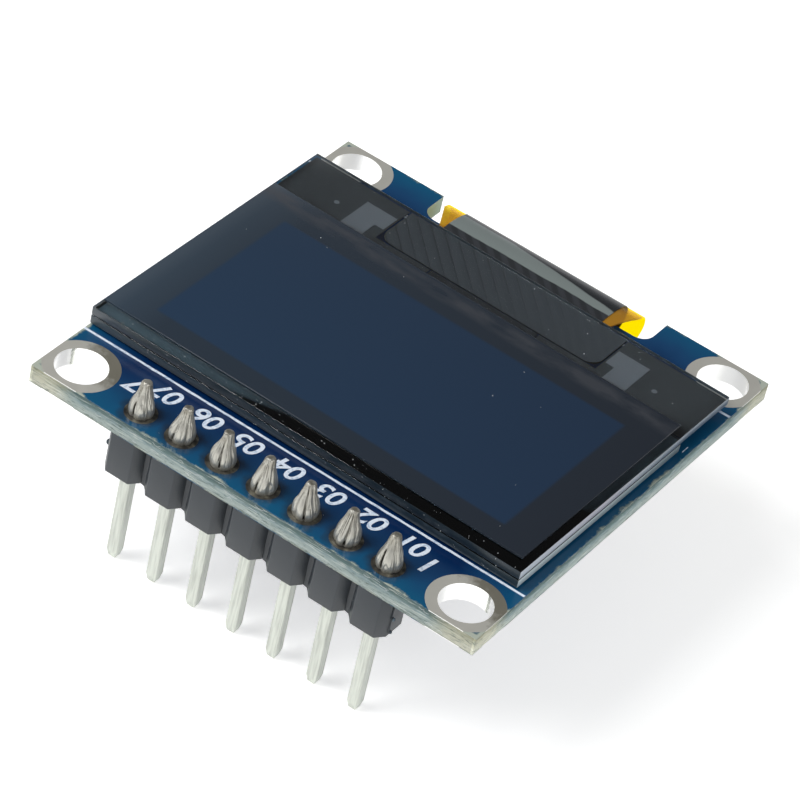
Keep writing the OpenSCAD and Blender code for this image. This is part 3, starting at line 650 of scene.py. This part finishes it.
def amber_material(settings):
    """Bare polyimide film: clear amber gloss, bright yellow where the light comes straight through it."""
    m = fresh_material("amber polyimide film")
    place = spot(m)
    cloud = node(m, "TexNoise", {"Vector": in_millimetres(m), "Scale": 1 / 0.8, "Detail": 3.0})
    darker = dimmed(settings.amber_colour, 0.75)
    tint = node(m, "Mix", {"Factor": cloud, "A": darker, "B": settings.amber_colour}, data_type="RGBA")
    bonded = node(m, "MapRange", {"Value": place["Y"], **span(*BOND_END)})
    tint = node(m, "Mix", {"Factor": bonded, "A": tint, "B": linear("#24262A")}, data_type="RGBA")
    gloss = node(m, "BsdfPrincipled", {"Base Color": tint, "Roughness": 0.2, "IOR": 1.7})
    clear = node(m, "BsdfTransparent", {"Color": settings.amber_light})
    share = node(m, "MapRange", {"Value": place["Z"], **span(*LIT_HEIGHT), **span(0.9, 0.3, "To")})
    return finish_surface(m, node(m, "MixShader", {0: share, 1: gloss, 2: clear}))


def coverlay_material(settings):
    """Dark coverlay pressed over slanted copper tracks: satin, with 45 degree ridges on its flat part;
    stretched smooth and glossy over the fold, which carries a pale band of painted reflection, widest at its
    left end, a painted dark reflection beyond it and a painted highlight along its outer rim."""
    m = fresh_material("flex coverlay")
    place = spot(m)
    across = node(m, "SeparateXYZ", {0: in_millimetres(m, turn=math.radians(45))})
    ridge = node(m, "Math", {0: across, 1: 2 * math.pi / 0.65}, operation="MULTIPLY")
    wave = node(m, "Math", {0: ridge}, operation="SINE")
    crest = node(m, "MapRange", {"Value": wave, **span(-0.3, 0.3)})
    darker = dimmed(settings.cover_colour, 0.62)
    flat = node(m, "Mix", {"Factor": crest, "A": darker, "B": settings.cover_colour}, data_type="RGBA")
    # Painted reflection and highlight on the fold: a pale band, a dark band beyond it, and a pale rim
    cloud = node(m, "TexNoise",
                 {"Vector": in_millimetres(m, scale=(0.3, 1, 1)), "Scale": 1 / 0.7, "Detail": 4.0})
    beyond = node(m, "Math", {0: cloud, 1: 0.25, 2: place["Y"]}, operation="MULTIPLY_ADD")
    reflection_end = node(m, "MapRange", {"Value": place["X"], **span(*REFLECTION_ACROSS), **span(*REFLECTION_END, "To")})
    into_dark_reflection = node(m, "Math", {0: beyond, 1: reflection_end}, operation="SUBTRACT")
    dark = node(m, "MapRange", {"Value": into_dark_reflection, **span(0.0, 0.12)})
    rim = node(m, "MapRange", {"Value": beyond, **span(*FOLD_RIM_HIGHLIGHT)})
    fold = node(m, "Mix", {"Factor": dark, "A": settings.cover_grey, "B": linear("#26292C")},
                data_type="RGBA")
    fold = node(m, "Mix", {"Factor": rim, "A": fold, "B": linear("#858C8B")}, data_type="RGBA")
    folded = node(m, "MapRange", {"Value": beyond, **span(*FOLD_START)})
    tint = node(m, "Mix", {"Factor": folded, "A": flat, "B": fold}, data_type="RGBA")
    rough = node(m, "MapRange", {"Value": folded, **span(0.36, 0.2, "To")})
    relief = node(m, "Mix", {"Factor": folded, "A": wave, "B": cloud})
    bump = node(m, "Bump", {"Height": relief, "Strength": 0.3, "Distance": 0.00002})
    return finish_surface(m,
                          node(m, "BsdfPrincipled", {"Base Color": tint, "Roughness": rough, "Normal": bump}))


# Operators --------------------------------------------------------------------------

class OLED_OT_stage(bpy.types.Operator):
    """Sets the camera, the pale floor and the soft lamps"""
    bl_idname = "oled.stage"
    bl_label = "Stage"

    def execute(self, context):
        settings = context.scene.oled_stage
        self.set_camera(settings)
        self.lay_floor(settings)
        self.hang_lamp("key lamp", settings.key_power, (-0.16, -0.13, 0.22), 0.22)
        self.hang_lamp("fill lamp", settings.fill_power, (0.2, -0.1, 0.16), 0.16)
        self.light_sky(settings)
        context.scene.view_settings.view_transform = "Standard"
        return {"FINISHED"}

    def set_camera(self, settings):
        data = bpy.data.cameras.new("camera")
        data.lens = settings.lens
        data.sensor_width = 36
        data.clip_start = 0.01
        data.clip_end = 20
        camera = bpy.data.objects.new("camera", data)
        bpy.context.scene.collection.objects.link(camera)
        back = Vector((math.sin(settings.azimuth) * math.cos(settings.elevation),
                       -math.cos(settings.azimuth) * math.cos(settings.elevation),
                       math.sin(settings.elevation)))
        camera.location = Vector(settings.look_at) + back * settings.distance
        level = (-back).to_track_quat("-Z", "Y").to_matrix().to_4x4()
        camera.rotation_euler = (level @ Matrix.Rotation(settings.roll, 4, "Z")).to_euler()
        bpy.context.scene.camera = camera

    def lay_floor(self, settings):
        bpy.ops.mesh.primitive_plane_add(size=6, location=(0, 0, cad_low.z - 0.02 * MM))
        floor = bpy.context.object
        floor.name = "floor"
        m = fresh_material("pale floor")
        cloud = node(m, "TexNoise", {"Vector": in_millimetres(m), "Scale": 1 / 400})
        tint = node(m, "Mix", {"Factor": cloud, "A": linear("#F0F0EE"), "B": settings.floor_colour},
                    data_type="RGBA")
        matt = node(m, "BsdfDiffuse", {"Color": tint})
        glow = node(m, "Emission", {"Color": (1, 1, 1, 1), "Strength": settings.floor_glow})
        ray = node(m, "LightPath").node.outputs
        seen = node(m, "Math", {0: ray["Is Camera Ray"], 1: ray["Is Glossy Ray"]}, operation="MAXIMUM")
        seen = node(m, "Math", {0: seen, 1: ray["Is Transmission Ray"]}, operation="MAXIMUM")
        dark = node(m, "Emission", {"Strength": 0.0})
        added = node(m, "MixShader", {0: seen, 1: dark, 2: glow})
        finish_surface(m, node(m, "AddShader", {0: matt, 1: added}))
        floor.data.materials.append(m)

    def hang_lamp(self, name, power, place, size):
        data = bpy.data.lights.new(name, "AREA")
        data.shape = "DISK"
        data.size = size
        data.energy = power
        lamp = bpy.data.objects.new(name, data)
        bpy.context.scene.collection.objects.link(lamp)
        lamp.location = place
        lamp.rotation_euler = (-lamp.location).to_track_quat("-Z", "Y").to_euler()

    def light_sky(self, settings):
        """An even tent of light: bright near the horizon, dimmer overhead, plain white to the camera.
        Gloss and glass see the white backdrop at the horizon and a dark ceiling."""
        world = bpy.data.worlds.new("studio")
        bpy.context.scene.world = world
        world.use_nodes = True
        world.node_tree.nodes.clear()
        direction = node(world, "TexCoord").node.outputs["Generated"]
        height = node(world, "SeparateXYZ", {0: direction}).node.outputs["Z"]
        ceiling = node(world, "MapRange", {"Value": height, **span(0.04, 0.2)},
                       interpolation_type="SMOOTHSTEP")
        ray = node(world, "LightPath").node.outputs
        mirrored = node(world, "Math", {0: ray["Is Glossy Ray"], 1: ray["Is Transmission Ray"]},
                        operation="MAXIMUM")
        low = node(world, "Mix", {"Factor": mirrored, "A": settings.sky_low, "B": 1.0})
        high = node(world, "Mix", {"Factor": mirrored, "A": settings.sky_high, "B": settings.ceiling})
        strength = node(world, "Mix", {"Factor": ceiling, "A": low, "B": high})
        tent = node(world, "Background", {"Color": linear("#F4F6FA"), "Strength": strength})
        white = node(world, "Background", {"Color": (1, 1, 1, 1), "Strength": 1.0})
        mixed = node(world, "MixShader", {0: ray["Is Camera Ray"], 1: tent, 2: white})
        node(world, "OutputWorld", {"Surface": mixed})


class OLED_OT_board(bpy.types.Operator):
    """Finishes the laminate, the solder mask, the plating and the printed lines"""
    bl_idname = "oled.board"
    bl_label = "Board"

    LINE_CUTS = 60             # cuts in each long edge of a printed line
    EDGE_CUTS = (110, 7)       # cuts in the routed faces, along them and up them
    LAYER_MM = 0.125           # height of one layer of glass cloth
    RIM_LAYERS = (0, 8)        # the lowest and highest layers, which the mask holds together

    def execute(self, context):
        settings = context.scene.oled_board
        dress(solder_mask_material(settings), "front_solder_mask", "back_solder_mask")
        add_piece(self.print_lines(), "printed_lines", "legend", ink_material(settings), "front_legend")
        plating = plating_material(settings)
        dress(plating, "part_lands", "chip_terminals", "regulator_leads",
              *[f"corner_eyelet_{i}" for i in range(1, 5)])
        dress(fluxed_pad_material(), "header_pads")
        board = copy_of("fr4_board", whole=False)
        self.streak_outline(board, settings)
        add_piece(board, "routed_board", "laminate", laminate_material(settings), "fr4_board")
        return {"FINISHED"}

    def print_lines(self):
        """Draws the printed lines' long edges in a little, unevenly, as a screen leaves them."""
        lines = copy_of("front_legend")
        pick_in_mesh(lines, "edges", lambda e: abs(e.verts[0].co.z - e.verts[1].co.z) < NEAR
                     and e.calc_length() > 1.0 * MM)
        bpy.ops.mesh.subdivide(number_cuts=self.LINE_CUTS)
        bpy.ops.object.mode_set(mode="OBJECT")
        for vertex in lines.data.vertices:
            inwards = -vertex.normal
            inwards.z = 0
            draw_in = 0.028 + 0.03 * noise.noise(vertex.co / (0.35 * MM))
            vertex.co += inwards.normalized() * max(0.0, draw_in) * MM
        return lines

    def streak_outline(self, board, settings):
        """Divides the four long outer faces and sinks streaks into them, a cloth layer at a time."""
        reach = (board_high.x, board_high.y)

        def outer(face):
            place = face.calc_center_median()
            return any(abs(face.normal[k]) > 0.9 and abs(place[k]) > reach[k] - 1e-5 for k in (0, 1))

        def long_rim(edge):
            a, b = edge.verts
            level = abs(a.co.z - b.co.z) < NEAR
            return level and edge.calc_length() > 2 * MM and any(map(outer, edge.link_faces))

        def upright_on_rim(edge):
            a, b = edge.verts
            return abs(a.co.z - b.co.z) > 0.9 * MM and any(map(outer, edge.link_faces))

        pick_in_mesh(board, "faces", outer)
        bpy.ops.mesh.dissolve_limited(angle_limit=FLAT)
        pick_in_mesh(board, "edges", long_rim)
        bpy.ops.mesh.subdivide(number_cuts=self.EDGE_CUTS[0])
        pick_in_mesh(board, "edges", upright_on_rim)
        bpy.ops.mesh.subdivide(number_cuts=self.EDGE_CUTS[1])
        bpy.ops.object.mode_set(mode="OBJECT")
        for vertex in board.data.vertices:
            for k in (0, 1):
                if abs(abs(vertex.co[k]) - reach[k]) > NEAR or abs(abs(vertex.co[1 - k]) - reach[1 - k]) < NEAR:
                    continue
                along, layer = vertex.co[1 - k] / MM, round(vertex.co.z / MM / self.LAYER_MM)
                streak = noise.noise(Vector((along * 1.1, layer * 7.3, k * 5.0)))
                pit = noise.noise(Vector((along * 3.4, layer * 3.1, 9.0 + k)))
                share = max(0.0, 0.45 * streak + 0.55 * max(0.0, pit) * 1.4)
                rim = 0.4 if layer in self.RIM_LAYERS else 1.0
                vertex.co[k] -= math.copysign(min(1.0, share * 1.6) * rim * settings.chip_depth, vertex.co[k])
        pick_only(board)
        bpy.ops.object.shade_smooth_by_angle(angle=math.radians(40))


class OLED_OT_pin_numbers(bpy.types.Operator):
    """Prints plain pin numbers beside the joints"""
    bl_idname = "oled.pin_numbers"
    bl_label = "Pin numbers"

    def execute(self, context):
        row = pin_places[0].y
        marks = [(f"{i + 1:02}", place.x + 0.15 * MM, row + 2.1 * MM, 1.65)
                 for i, place in enumerate(pin_places)]
        marks += [(str(PIN_COUNT), pin_places[-1].x - 1.35 * MM, row + 1.55 * MM, 1.75),
                  ("1", pin_places[0].x + 1.5 * MM, row + 1.5 * MM, 1.75)]
        glyphs = []
        for text, x, y, size in marks:
            curve = bpy.data.curves.new("pin_number", "FONT")
            curve.body = text
            curve.size = size * MM
            curve.shear = 0.18
            curve.offset = 0.03 * MM
            curve.extrude = 0.004 * MM
            curve.align_x = "CENTER"
            curve.align_y = "CENTER"
            glyph = bpy.data.objects.new("pin_number", curve)
            context.scene.collection.objects.link(glyph)
            glyph.location = (x, y, mask_top + 0.006 * MM)
            glyph.rotation_euler = (0, 0, math.radians(180))
            pick_only(glyph)
            bpy.ops.object.convert(target="MESH")
            glyphs.append(settle(bpy.context.object))
        add_piece(join(glyphs), "pin_numbers", "legend", ink_material(context.scene.oled_board))
        return {"FINISHED"}


class OLED_OT_header(bpy.types.Operator):
    """Rounds and finishes the moulded strip and its pins"""
    bl_idname = "oled.header"
    bl_label = "Header"

    # For the last four rings of a pin, in mm: height above its tip, new height, and half the width there
    NOSE = [(0.0, 0.0, 0.17), (0.06, 0.06, 0.235), (0.525, 0.22, 0.3), (1.05, 0.5, 0.32)]

    def execute(self, context):
        settings = context.scene.oled_header
        strip = round_edges(copy_of("header_strip"), 0.05, 0.6)
        add_piece(strip, "moulded_strip", "header_plastic", header_plastic_material(settings), "header_strip")
        tin = pin_material(settings)
        for i in range(PIN_COUNT):
            pin = copy_of(f"header_pin_{i + 1}")
            self.blunt(pin, pin_places[i])
            round_edges(pin, 0.05, 0.2)
            add_piece(pin, f"tinned_pin_{i + 1}", "pin_metal", tin, f"header_pin_{i + 1}")
        return {"FINISHED"}

    def blunt(self, pin, axis):
        """Gives the pin's lower end the short round nose of a sheared and tumbled wire."""
        low = min(vertex.co.z for vertex in pin.data.vertices)
        for vertex in pin.data.vertices:
            rise = (vertex.co.z - low) / MM
            for level, new_rise, half in self.NOSE:
                if abs(rise - level) < 0.01:
                    vertex.co = [axis[k] + math.copysign(half * MM, vertex.co[k] - axis[k]) for k in (0,
                                                                                                      1)] + [
                        low + new_rise * MM]


class OLED_OT_solder(bpy.types.Operator):
    """Pleats, slits and finishes the solder joints"""
    bl_idname = "oled.solder"
    bl_label = "Solder joints"

    PIN_HALF = 0.32            # half the pin's side, in mm
    TIP_HALF = 0.1             # half the side of the pin's tip
    TAPER_FROM = 0.6           # height above the mask at which the pin begins to taper
    TAPER = 0.095 / 0.65       # how fast it narrows
    # Height in mm above the mask at which each joint's slit ends, and half the slit's width in mm
    SLITS = [(1.15, 0.07), (0.32, 0.075), (0.3, 0.07), (0.6, 0.03), (0.5, 0.035), (0.45, 0.03), (0.85, 0.032)]

    def execute(self, context):
        settings = context.scene.oled_header
        metal = solder_material(settings)
        dress(metal, "flex_solder_row")
        for i in range(PIN_COUNT):
            name = f"solder_joint_{i + 1}"
            joint = bpy.data.objects.new(name + "_dressed", frame["nodes"][name].data.copy())
            context.scene.collection.objects.link(joint)
            pick_in_mesh(joint, "faces", lambda face: True)
            bpy.ops.mesh.remove_doubles(threshold=NEAR)
            axis = pin_places[i]
            pick_in_mesh(joint, "faces", lambda face: self.is_outer(face, axis))
            bpy.ops.mesh.tris_convert_to_quads(face_threshold=math.radians(60),
                                               shape_threshold=math.radians(60))
            bpy.ops.mesh.subdivide(number_cuts=3)
            bpy.ops.object.mode_set(mode="OBJECT")
            self.pleat(joint, axis, i, settings)
            pick_only(joint)
            bpy.ops.object.shade_smooth_by_angle(angle=math.radians(75))
            add_piece(joint, f"solder_bulb_{i + 1}", "solder", metal, name)
        return {"FINISHED"}

    def is_outer(self, face, axis):
        place = face.calc_center_median()
        outwards = Vector((place.x - axis.x, place.y - axis.y, 0))
        faces_out = face.normal.dot(outwards.normalized()) > 0.05 or face.normal.z > 0.5
        return place.z > mask_top + NEAR and faces_out

    def slit_turns(self, joint, axis):
        """Angle of the deepest crease low and high on the bulb, and their heights."""
        found = []
        for low, high in ((0.2, 0.35), (0.95, 1.1)):
            ring = [v.co - axis for v in joint.data.vertices if low * MM < v.co.z - mask_top < high * MM
                    and math.hypot(v.co.x - axis.x, v.co.y - axis.y) > 0.3 * MM]
            deepest = min(ring, key=lambda p: math.hypot(p.x, p.y) + (1.0 if p.y > 0 else 0.0))
            found.append((math.atan2(deepest.y, deepest.x), (low + high) / 2))
        return found

    def pin_reach(self, turn, height):
        """Distance from the axis to the square pin's face, in mm, height in mm above the mask."""
        narrowing = self.TAPER * (height - self.TAPER_FROM)
        half = self.PIN_HALF if height < self.TAPER_FROM else max(self.TIP_HALF, self.PIN_HALF - narrowing)
        return half / max(abs(math.cos(turn)), abs(math.sin(turn)))

    def pleat(self, joint, axis, index, settings):
        (turn_low, height_low), (turn_high, height_high) = self.slit_turns(joint, axis)
        top, half_width = self.SLITS[index]
        total = (joint_top - mask_top) / MM
        for vertex in joint.data.vertices:
            x, y = (vertex.co.x - axis.x) / MM, (vertex.co.y - axis.y) / MM
            height = (vertex.co.z - mask_top) / MM
            reach = math.hypot(x, y)
            turn = math.atan2(y, x)
            if height < 0.01 or reach < self.pin_reach(turn, height) + 0.02:
                continue
            share = height / total
            ring = Vector((math.cos(turn), math.sin(turn), 0))
            fold = noise.noise(ring * 2.6 + Vector((0, 0, share * 1.1 + 13.7 * index)))
            crease = max(0.0, 1 - abs(fold) * 7)
            fine = noise.noise(ring * 7 + Vector((0, 0, share * 2.5 + 5.1 * index)))
            rise = min(1.0, share * 4) * min(1.0, (1 - share) * 6 + 0.15)
            lump = noise.noise(ring * 0.9 + Vector((0, 0, share * 1.6 + 3.3 * index)))
            sink = settings.pleat_depth / MM * rise * (crease + 0.35 * max(0.0, fine))
            sink += 0.1 * max(0.0, lump + 0.1) * min(1.0, share * 3)
            slit_turn = turn_low + (turn_high - turn_low) * (height - height_low) / (height_high - height_low)
            aside = reach * math.sin(turn - slit_turn)
            if math.cos(turn - slit_turn) > 0 and 0.08 < height < top:
                narrow = half_width * min(1.0, (top - height) / 0.25 + 0.25)
                depth = settings.slit_depth / MM * max(0.0, 1 - (aside / narrow) ** 2)
                sink += depth * min(1.0, (height - 0.05) / 0.1)
            kept = max(reach - sink, self.pin_reach(turn, height) + 0.015)
            if kept < reach:
                vertex.co.x = axis.x + x / reach * kept * MM
                vertex.co.y = axis.y + y / reach * kept * MM


class OLED_OT_panel_glass(bpy.types.Operator):
    """Finishes the display panel's glass, film and inner layers"""
    bl_idname = "oled.panel_glass"
    bl_label = "Display panel"

    def execute(self, context):
        settings = context.scene.oled_panel
        front = round_edges(copy_of("front_glass"), 0.03, 0.3)
        for vertex in front.data.vertices:
            if vertex.co.z < glass_low.z + NEAR:
                vertex.co.z += 0.002 * MM
        add_piece(front, "front_pane", "front_glass", glass_material(
            settings, "front display glass",
            [(0.1, "#BCC6D2"), (0.45, "#A8A9B8"), (0.65, "#8E9AA8"), (0.85, "#55677A")],
            [(0.0, "#16232B"), (0.5, "#1D2A33"), (0.75, "#2C3740"), (1.0, "#474F55")]), "front_glass")
        cover = round_edges(copy_of("cover_glass"), 0.03, 0.3)
        add_piece(cover, "cover_pane", "rear_glass", glass_material(
            settings, "cover glass",
            [(0.1, "#BAC8CD"), (0.6, "#94A4A9"), (0.9, "#6E7C82")],
            [(0.0, "#1E2C36"), (0.6, "#28353D"), (1.0, "#313D45")]), "cover_glass")
        film = round_edges(copy_of("polarizer"), 0.03, 0.3)
        add_piece(film, "polarizing_film", "polarizer", film_material(settings), "polarizer")
        dress(plain_material("cured sealing resin", linear("#566771"), 0.5), "edge_seal")
        dress(plain_material("light-emitting layer", settings.active_colour, 0.3), "emitter_layer")
        dress(plain_material("pale drying sheet", linear("#D8D8D4"), 0.8), "desiccant_sheet")
        dress(plain_material("white foam tape", linear("#C9CBCB"), 0.9, grain_mm=0.1, grain_depth=0.00005),
              "foam_tape")
        dress(plain_material("black light-blocking tape", settings.ledge_dark, 0.6), "shield_tape")
        dress(plain_material("chromium tracks", settings.track_colour, 0.4), "ledge_traces")
        dress(plain_material("chromium marks", settings.mark_colour, 0.4), "ledge_marks")
        dress(plain_material("polished silicon", linear("#2C2D30"), 0.15), "driver_chip")
        return {"FINISHED"}


class OLED_OT_flex(bpy.types.Operator):
    """Finishes the folded flex"""
    bl_idname = "oled.flex"
    bl_label = "Flex"

    def execute(self, context):
        settings = context.scene.oled_flex
        for name, piece_name, slot_name, material in (
                ("flex_cable", "amber_film", "flex_base", amber_material(settings)),
                ("flex_coverlay", "pressed_coverlay", "flex_cover", coverlay_material(settings))):
            sheet = copy_of(name)
            bpy.ops.object.shade_smooth_by_angle(angle=math.radians(30))
            add_piece(sheet, piece_name, slot_name, material, name)
        return {"FINISHED"}


class OLED_OT_back_parts(bpy.types.Operator):
    """Rounds and finishes the chip resistors, chip capacitors, regulator and diode"""
    bl_idname = "oled.back_parts"
    bl_label = "Parts on the back"

    def execute(self, context):
        glaze = plain_material("glazed chip resistor", linear("#1D1E20"), 0.25)
        ceramic = plain_material("fired ceramic", linear("#B08A5A"), 0.45)
        epoxy = plain_material("moulded epoxy", linear("#232427"), 0.6, grain_mm=0.08)
        for prefix, slot_name, material in (("resistor_", "resistor_body", glaze),
                                            ("capacitor_", "capacitor_body", ceramic),
                                            ("regulator_body", "moulding", epoxy),
                                            ("diode_body", "moulding", epoxy)):
            for name in [n for n in frame["nodes"] if n.startswith(prefix)]:
                body = round_edges(copy_of(name), 0.04, 0.2)
                add_piece(body, name + "_finished", slot_name, material, name)
        return {"FINISHED"}


class OLED_OT_dust(bpy.types.Operator):
    """Scatters dust grains on the panel, and loose fibres along the routed edge"""
    bl_idname = "oled.dust"
    bl_label = "Dust and fibres"

    def execute(self, context):
        settings = context.scene.oled_dust
        draw = random.Random(settings.seed)
        bpy.ops.object.select_all(action="DESELECT")
        grains = [self.grain(place, draw) for place in self.grain_places(settings.grains, draw)]
        dust = plain_material("pale dust", linear("#DCE0E2"), 0.9, grain_mm=0.02)
        add_piece(join(grains), "dust_grains", "laminate", dust)
        fibres = [self.fibre(draw) for _ in range(settings.fibres)]
        add_piece(join(fibres), "loose_fibres", "laminate", dust)
        return {"FINISHED"}

    def grain_places(self, count, draw):
        """Most grains lie on the front border of the glass and stick to its cut sides."""
        for _ in range(count):
            lot = draw.random()
            x = draw.uniform(glass_low.x + 0.8 * MM, glass_high.x - 0.6 * MM)
            lean = math.tan(PANEL_TURN) * x
            if lot < 0.24:
                yield Vector((x, glass_low.y + draw.uniform(0.25, 0.75) * MM + lean, glass_high.z))
            elif lot < 0.7:
                yield Vector((x, glass_low.y + 0.17 * MM + lean, draw.uniform(cover_low.z, glass_high.z)))
            elif lot < 0.84:
                yield Vector((x, draw.uniform(film_high.y, glass_high.y - 0.4 * MM), glass_high.z))
            elif lot < 0.9:
                yield Vector((x, draw.uniform(film_low.y + 0.5 * MM, film_high.y - 0.5 * MM), film_high.z))
            elif lot < 0.95:
                yield Vector((x * 0.75, strip_low.y + 0.035 * MM,
                              draw.uniform(strip_low.z, strip_high.z - 0.3 * MM)))
            else:
                yield Vector((x, draw.uniform(board_low.y + 0.3 * MM, glass_low.y - 0.3 * MM), mask_top))

    def grain(self, place, draw):
        size = draw.choice((0.012, 0.016, 0.02, 0.03)) * MM
        bpy.ops.mesh.primitive_ico_sphere_add(subdivisions=1, radius=size, location=place)
        grain = bpy.context.object
        for vertex in grain.data.vertices:
            vertex.co *= draw.uniform(0.6, 1.2)
        grain.rotation_euler = (draw.uniform(0, 3), draw.uniform(0, 3), draw.uniform(0, 3))
        return settle(grain)

    def fibre(self, draw):
        """A thin curved hair lying against the routed front or right edge."""
        long = draw.uniform(0.2, 0.6) * MM
        bpy.ops.mesh.primitive_cylinder_add(vertices=5, radius=0.009 * MM, depth=long,
                                            rotation=(0, math.pi / 2, 0))
        hair = settle(bpy.context.object)
        pick_in_mesh(hair, "edges", lambda e: abs(e.verts[0].co.x - e.verts[1].co.x) > 0.5 * long)
        bpy.ops.mesh.subdivide(number_cuts=4)
        bpy.ops.object.mode_set(mode="OBJECT")
        bow = draw.uniform(-0.12, 0.12) * MM
        for vertex in hair.data.vertices:
            vertex.co.z += bow * (1 - (2 * vertex.co.x / long) ** 2)
        z = draw.uniform(board_low.z + 0.1 * MM, mask_top)
        if draw.random() < 0.6:
            hair.location = (draw.uniform(-FIBRE_REACH, FIBRE_REACH) * MM, board_low.y + 0.005 * MM, z)
        else:
            hair.rotation_euler = (0, 0, math.pi / 2)
            hair.location = (board_high.x - 0.011 * MM, draw.uniform(-FIBRE_REACH, FIBRE_REACH) * MM, z)
        return settle(hair)


class OLED_PT_parts(bpy.types.Panel):
    """Shows the module's operators and their settings"""
    bl_idname = "OLED_PT_parts"
    bl_label = "OLED Module"
    bl_space_type = "VIEW_3D"
    bl_region_type = "UI"
    bl_category = "OLED Module"

    def draw(self, context):
        for operator in OPERATORS:
            self.layout.operator(operator.bl_idname)
        for name, group in SETTINGS.items():
            box = self.layout.box()
            for key in group.__annotations__:
                box.prop(getattr(context.scene, name), key)


SETTINGS = {
    "oled_stage": StageSettings,
    "oled_board": BoardSettings,
    "oled_header": HeaderSettings,
    "oled_panel": PanelSettings,
    "oled_flex": FlexSettings,
    "oled_dust": DustSettings,
}
OPERATORS = [OLED_OT_stage, OLED_OT_board, OLED_OT_pin_numbers, OLED_OT_header, OLED_OT_solder,
             OLED_OT_panel_glass, OLED_OT_flex, OLED_OT_back_parts, OLED_OT_dust]
CLASSES = [*SETTINGS.values(), *OPERATORS, OLED_PT_parts]


def register():
    for cls in CLASSES:
        bpy.utils.register_class(cls)
    for name, group in SETTINGS.items():
        setattr(bpy.types.Scene, name, PointerProperty(type=group))


def unregister():
    for name in SETTINGS:
        delattr(bpy.types.Scene, name)
    for cls in reversed(CLASSES):
        bpy.utils.unregister_class(cls)


def main():
    register()
    for operator in OPERATORS:
        group, name = operator.bl_idname.split(".")
        getattr(getattr(bpy.ops, group), name)()


if __name__ == "__main__":
    main()
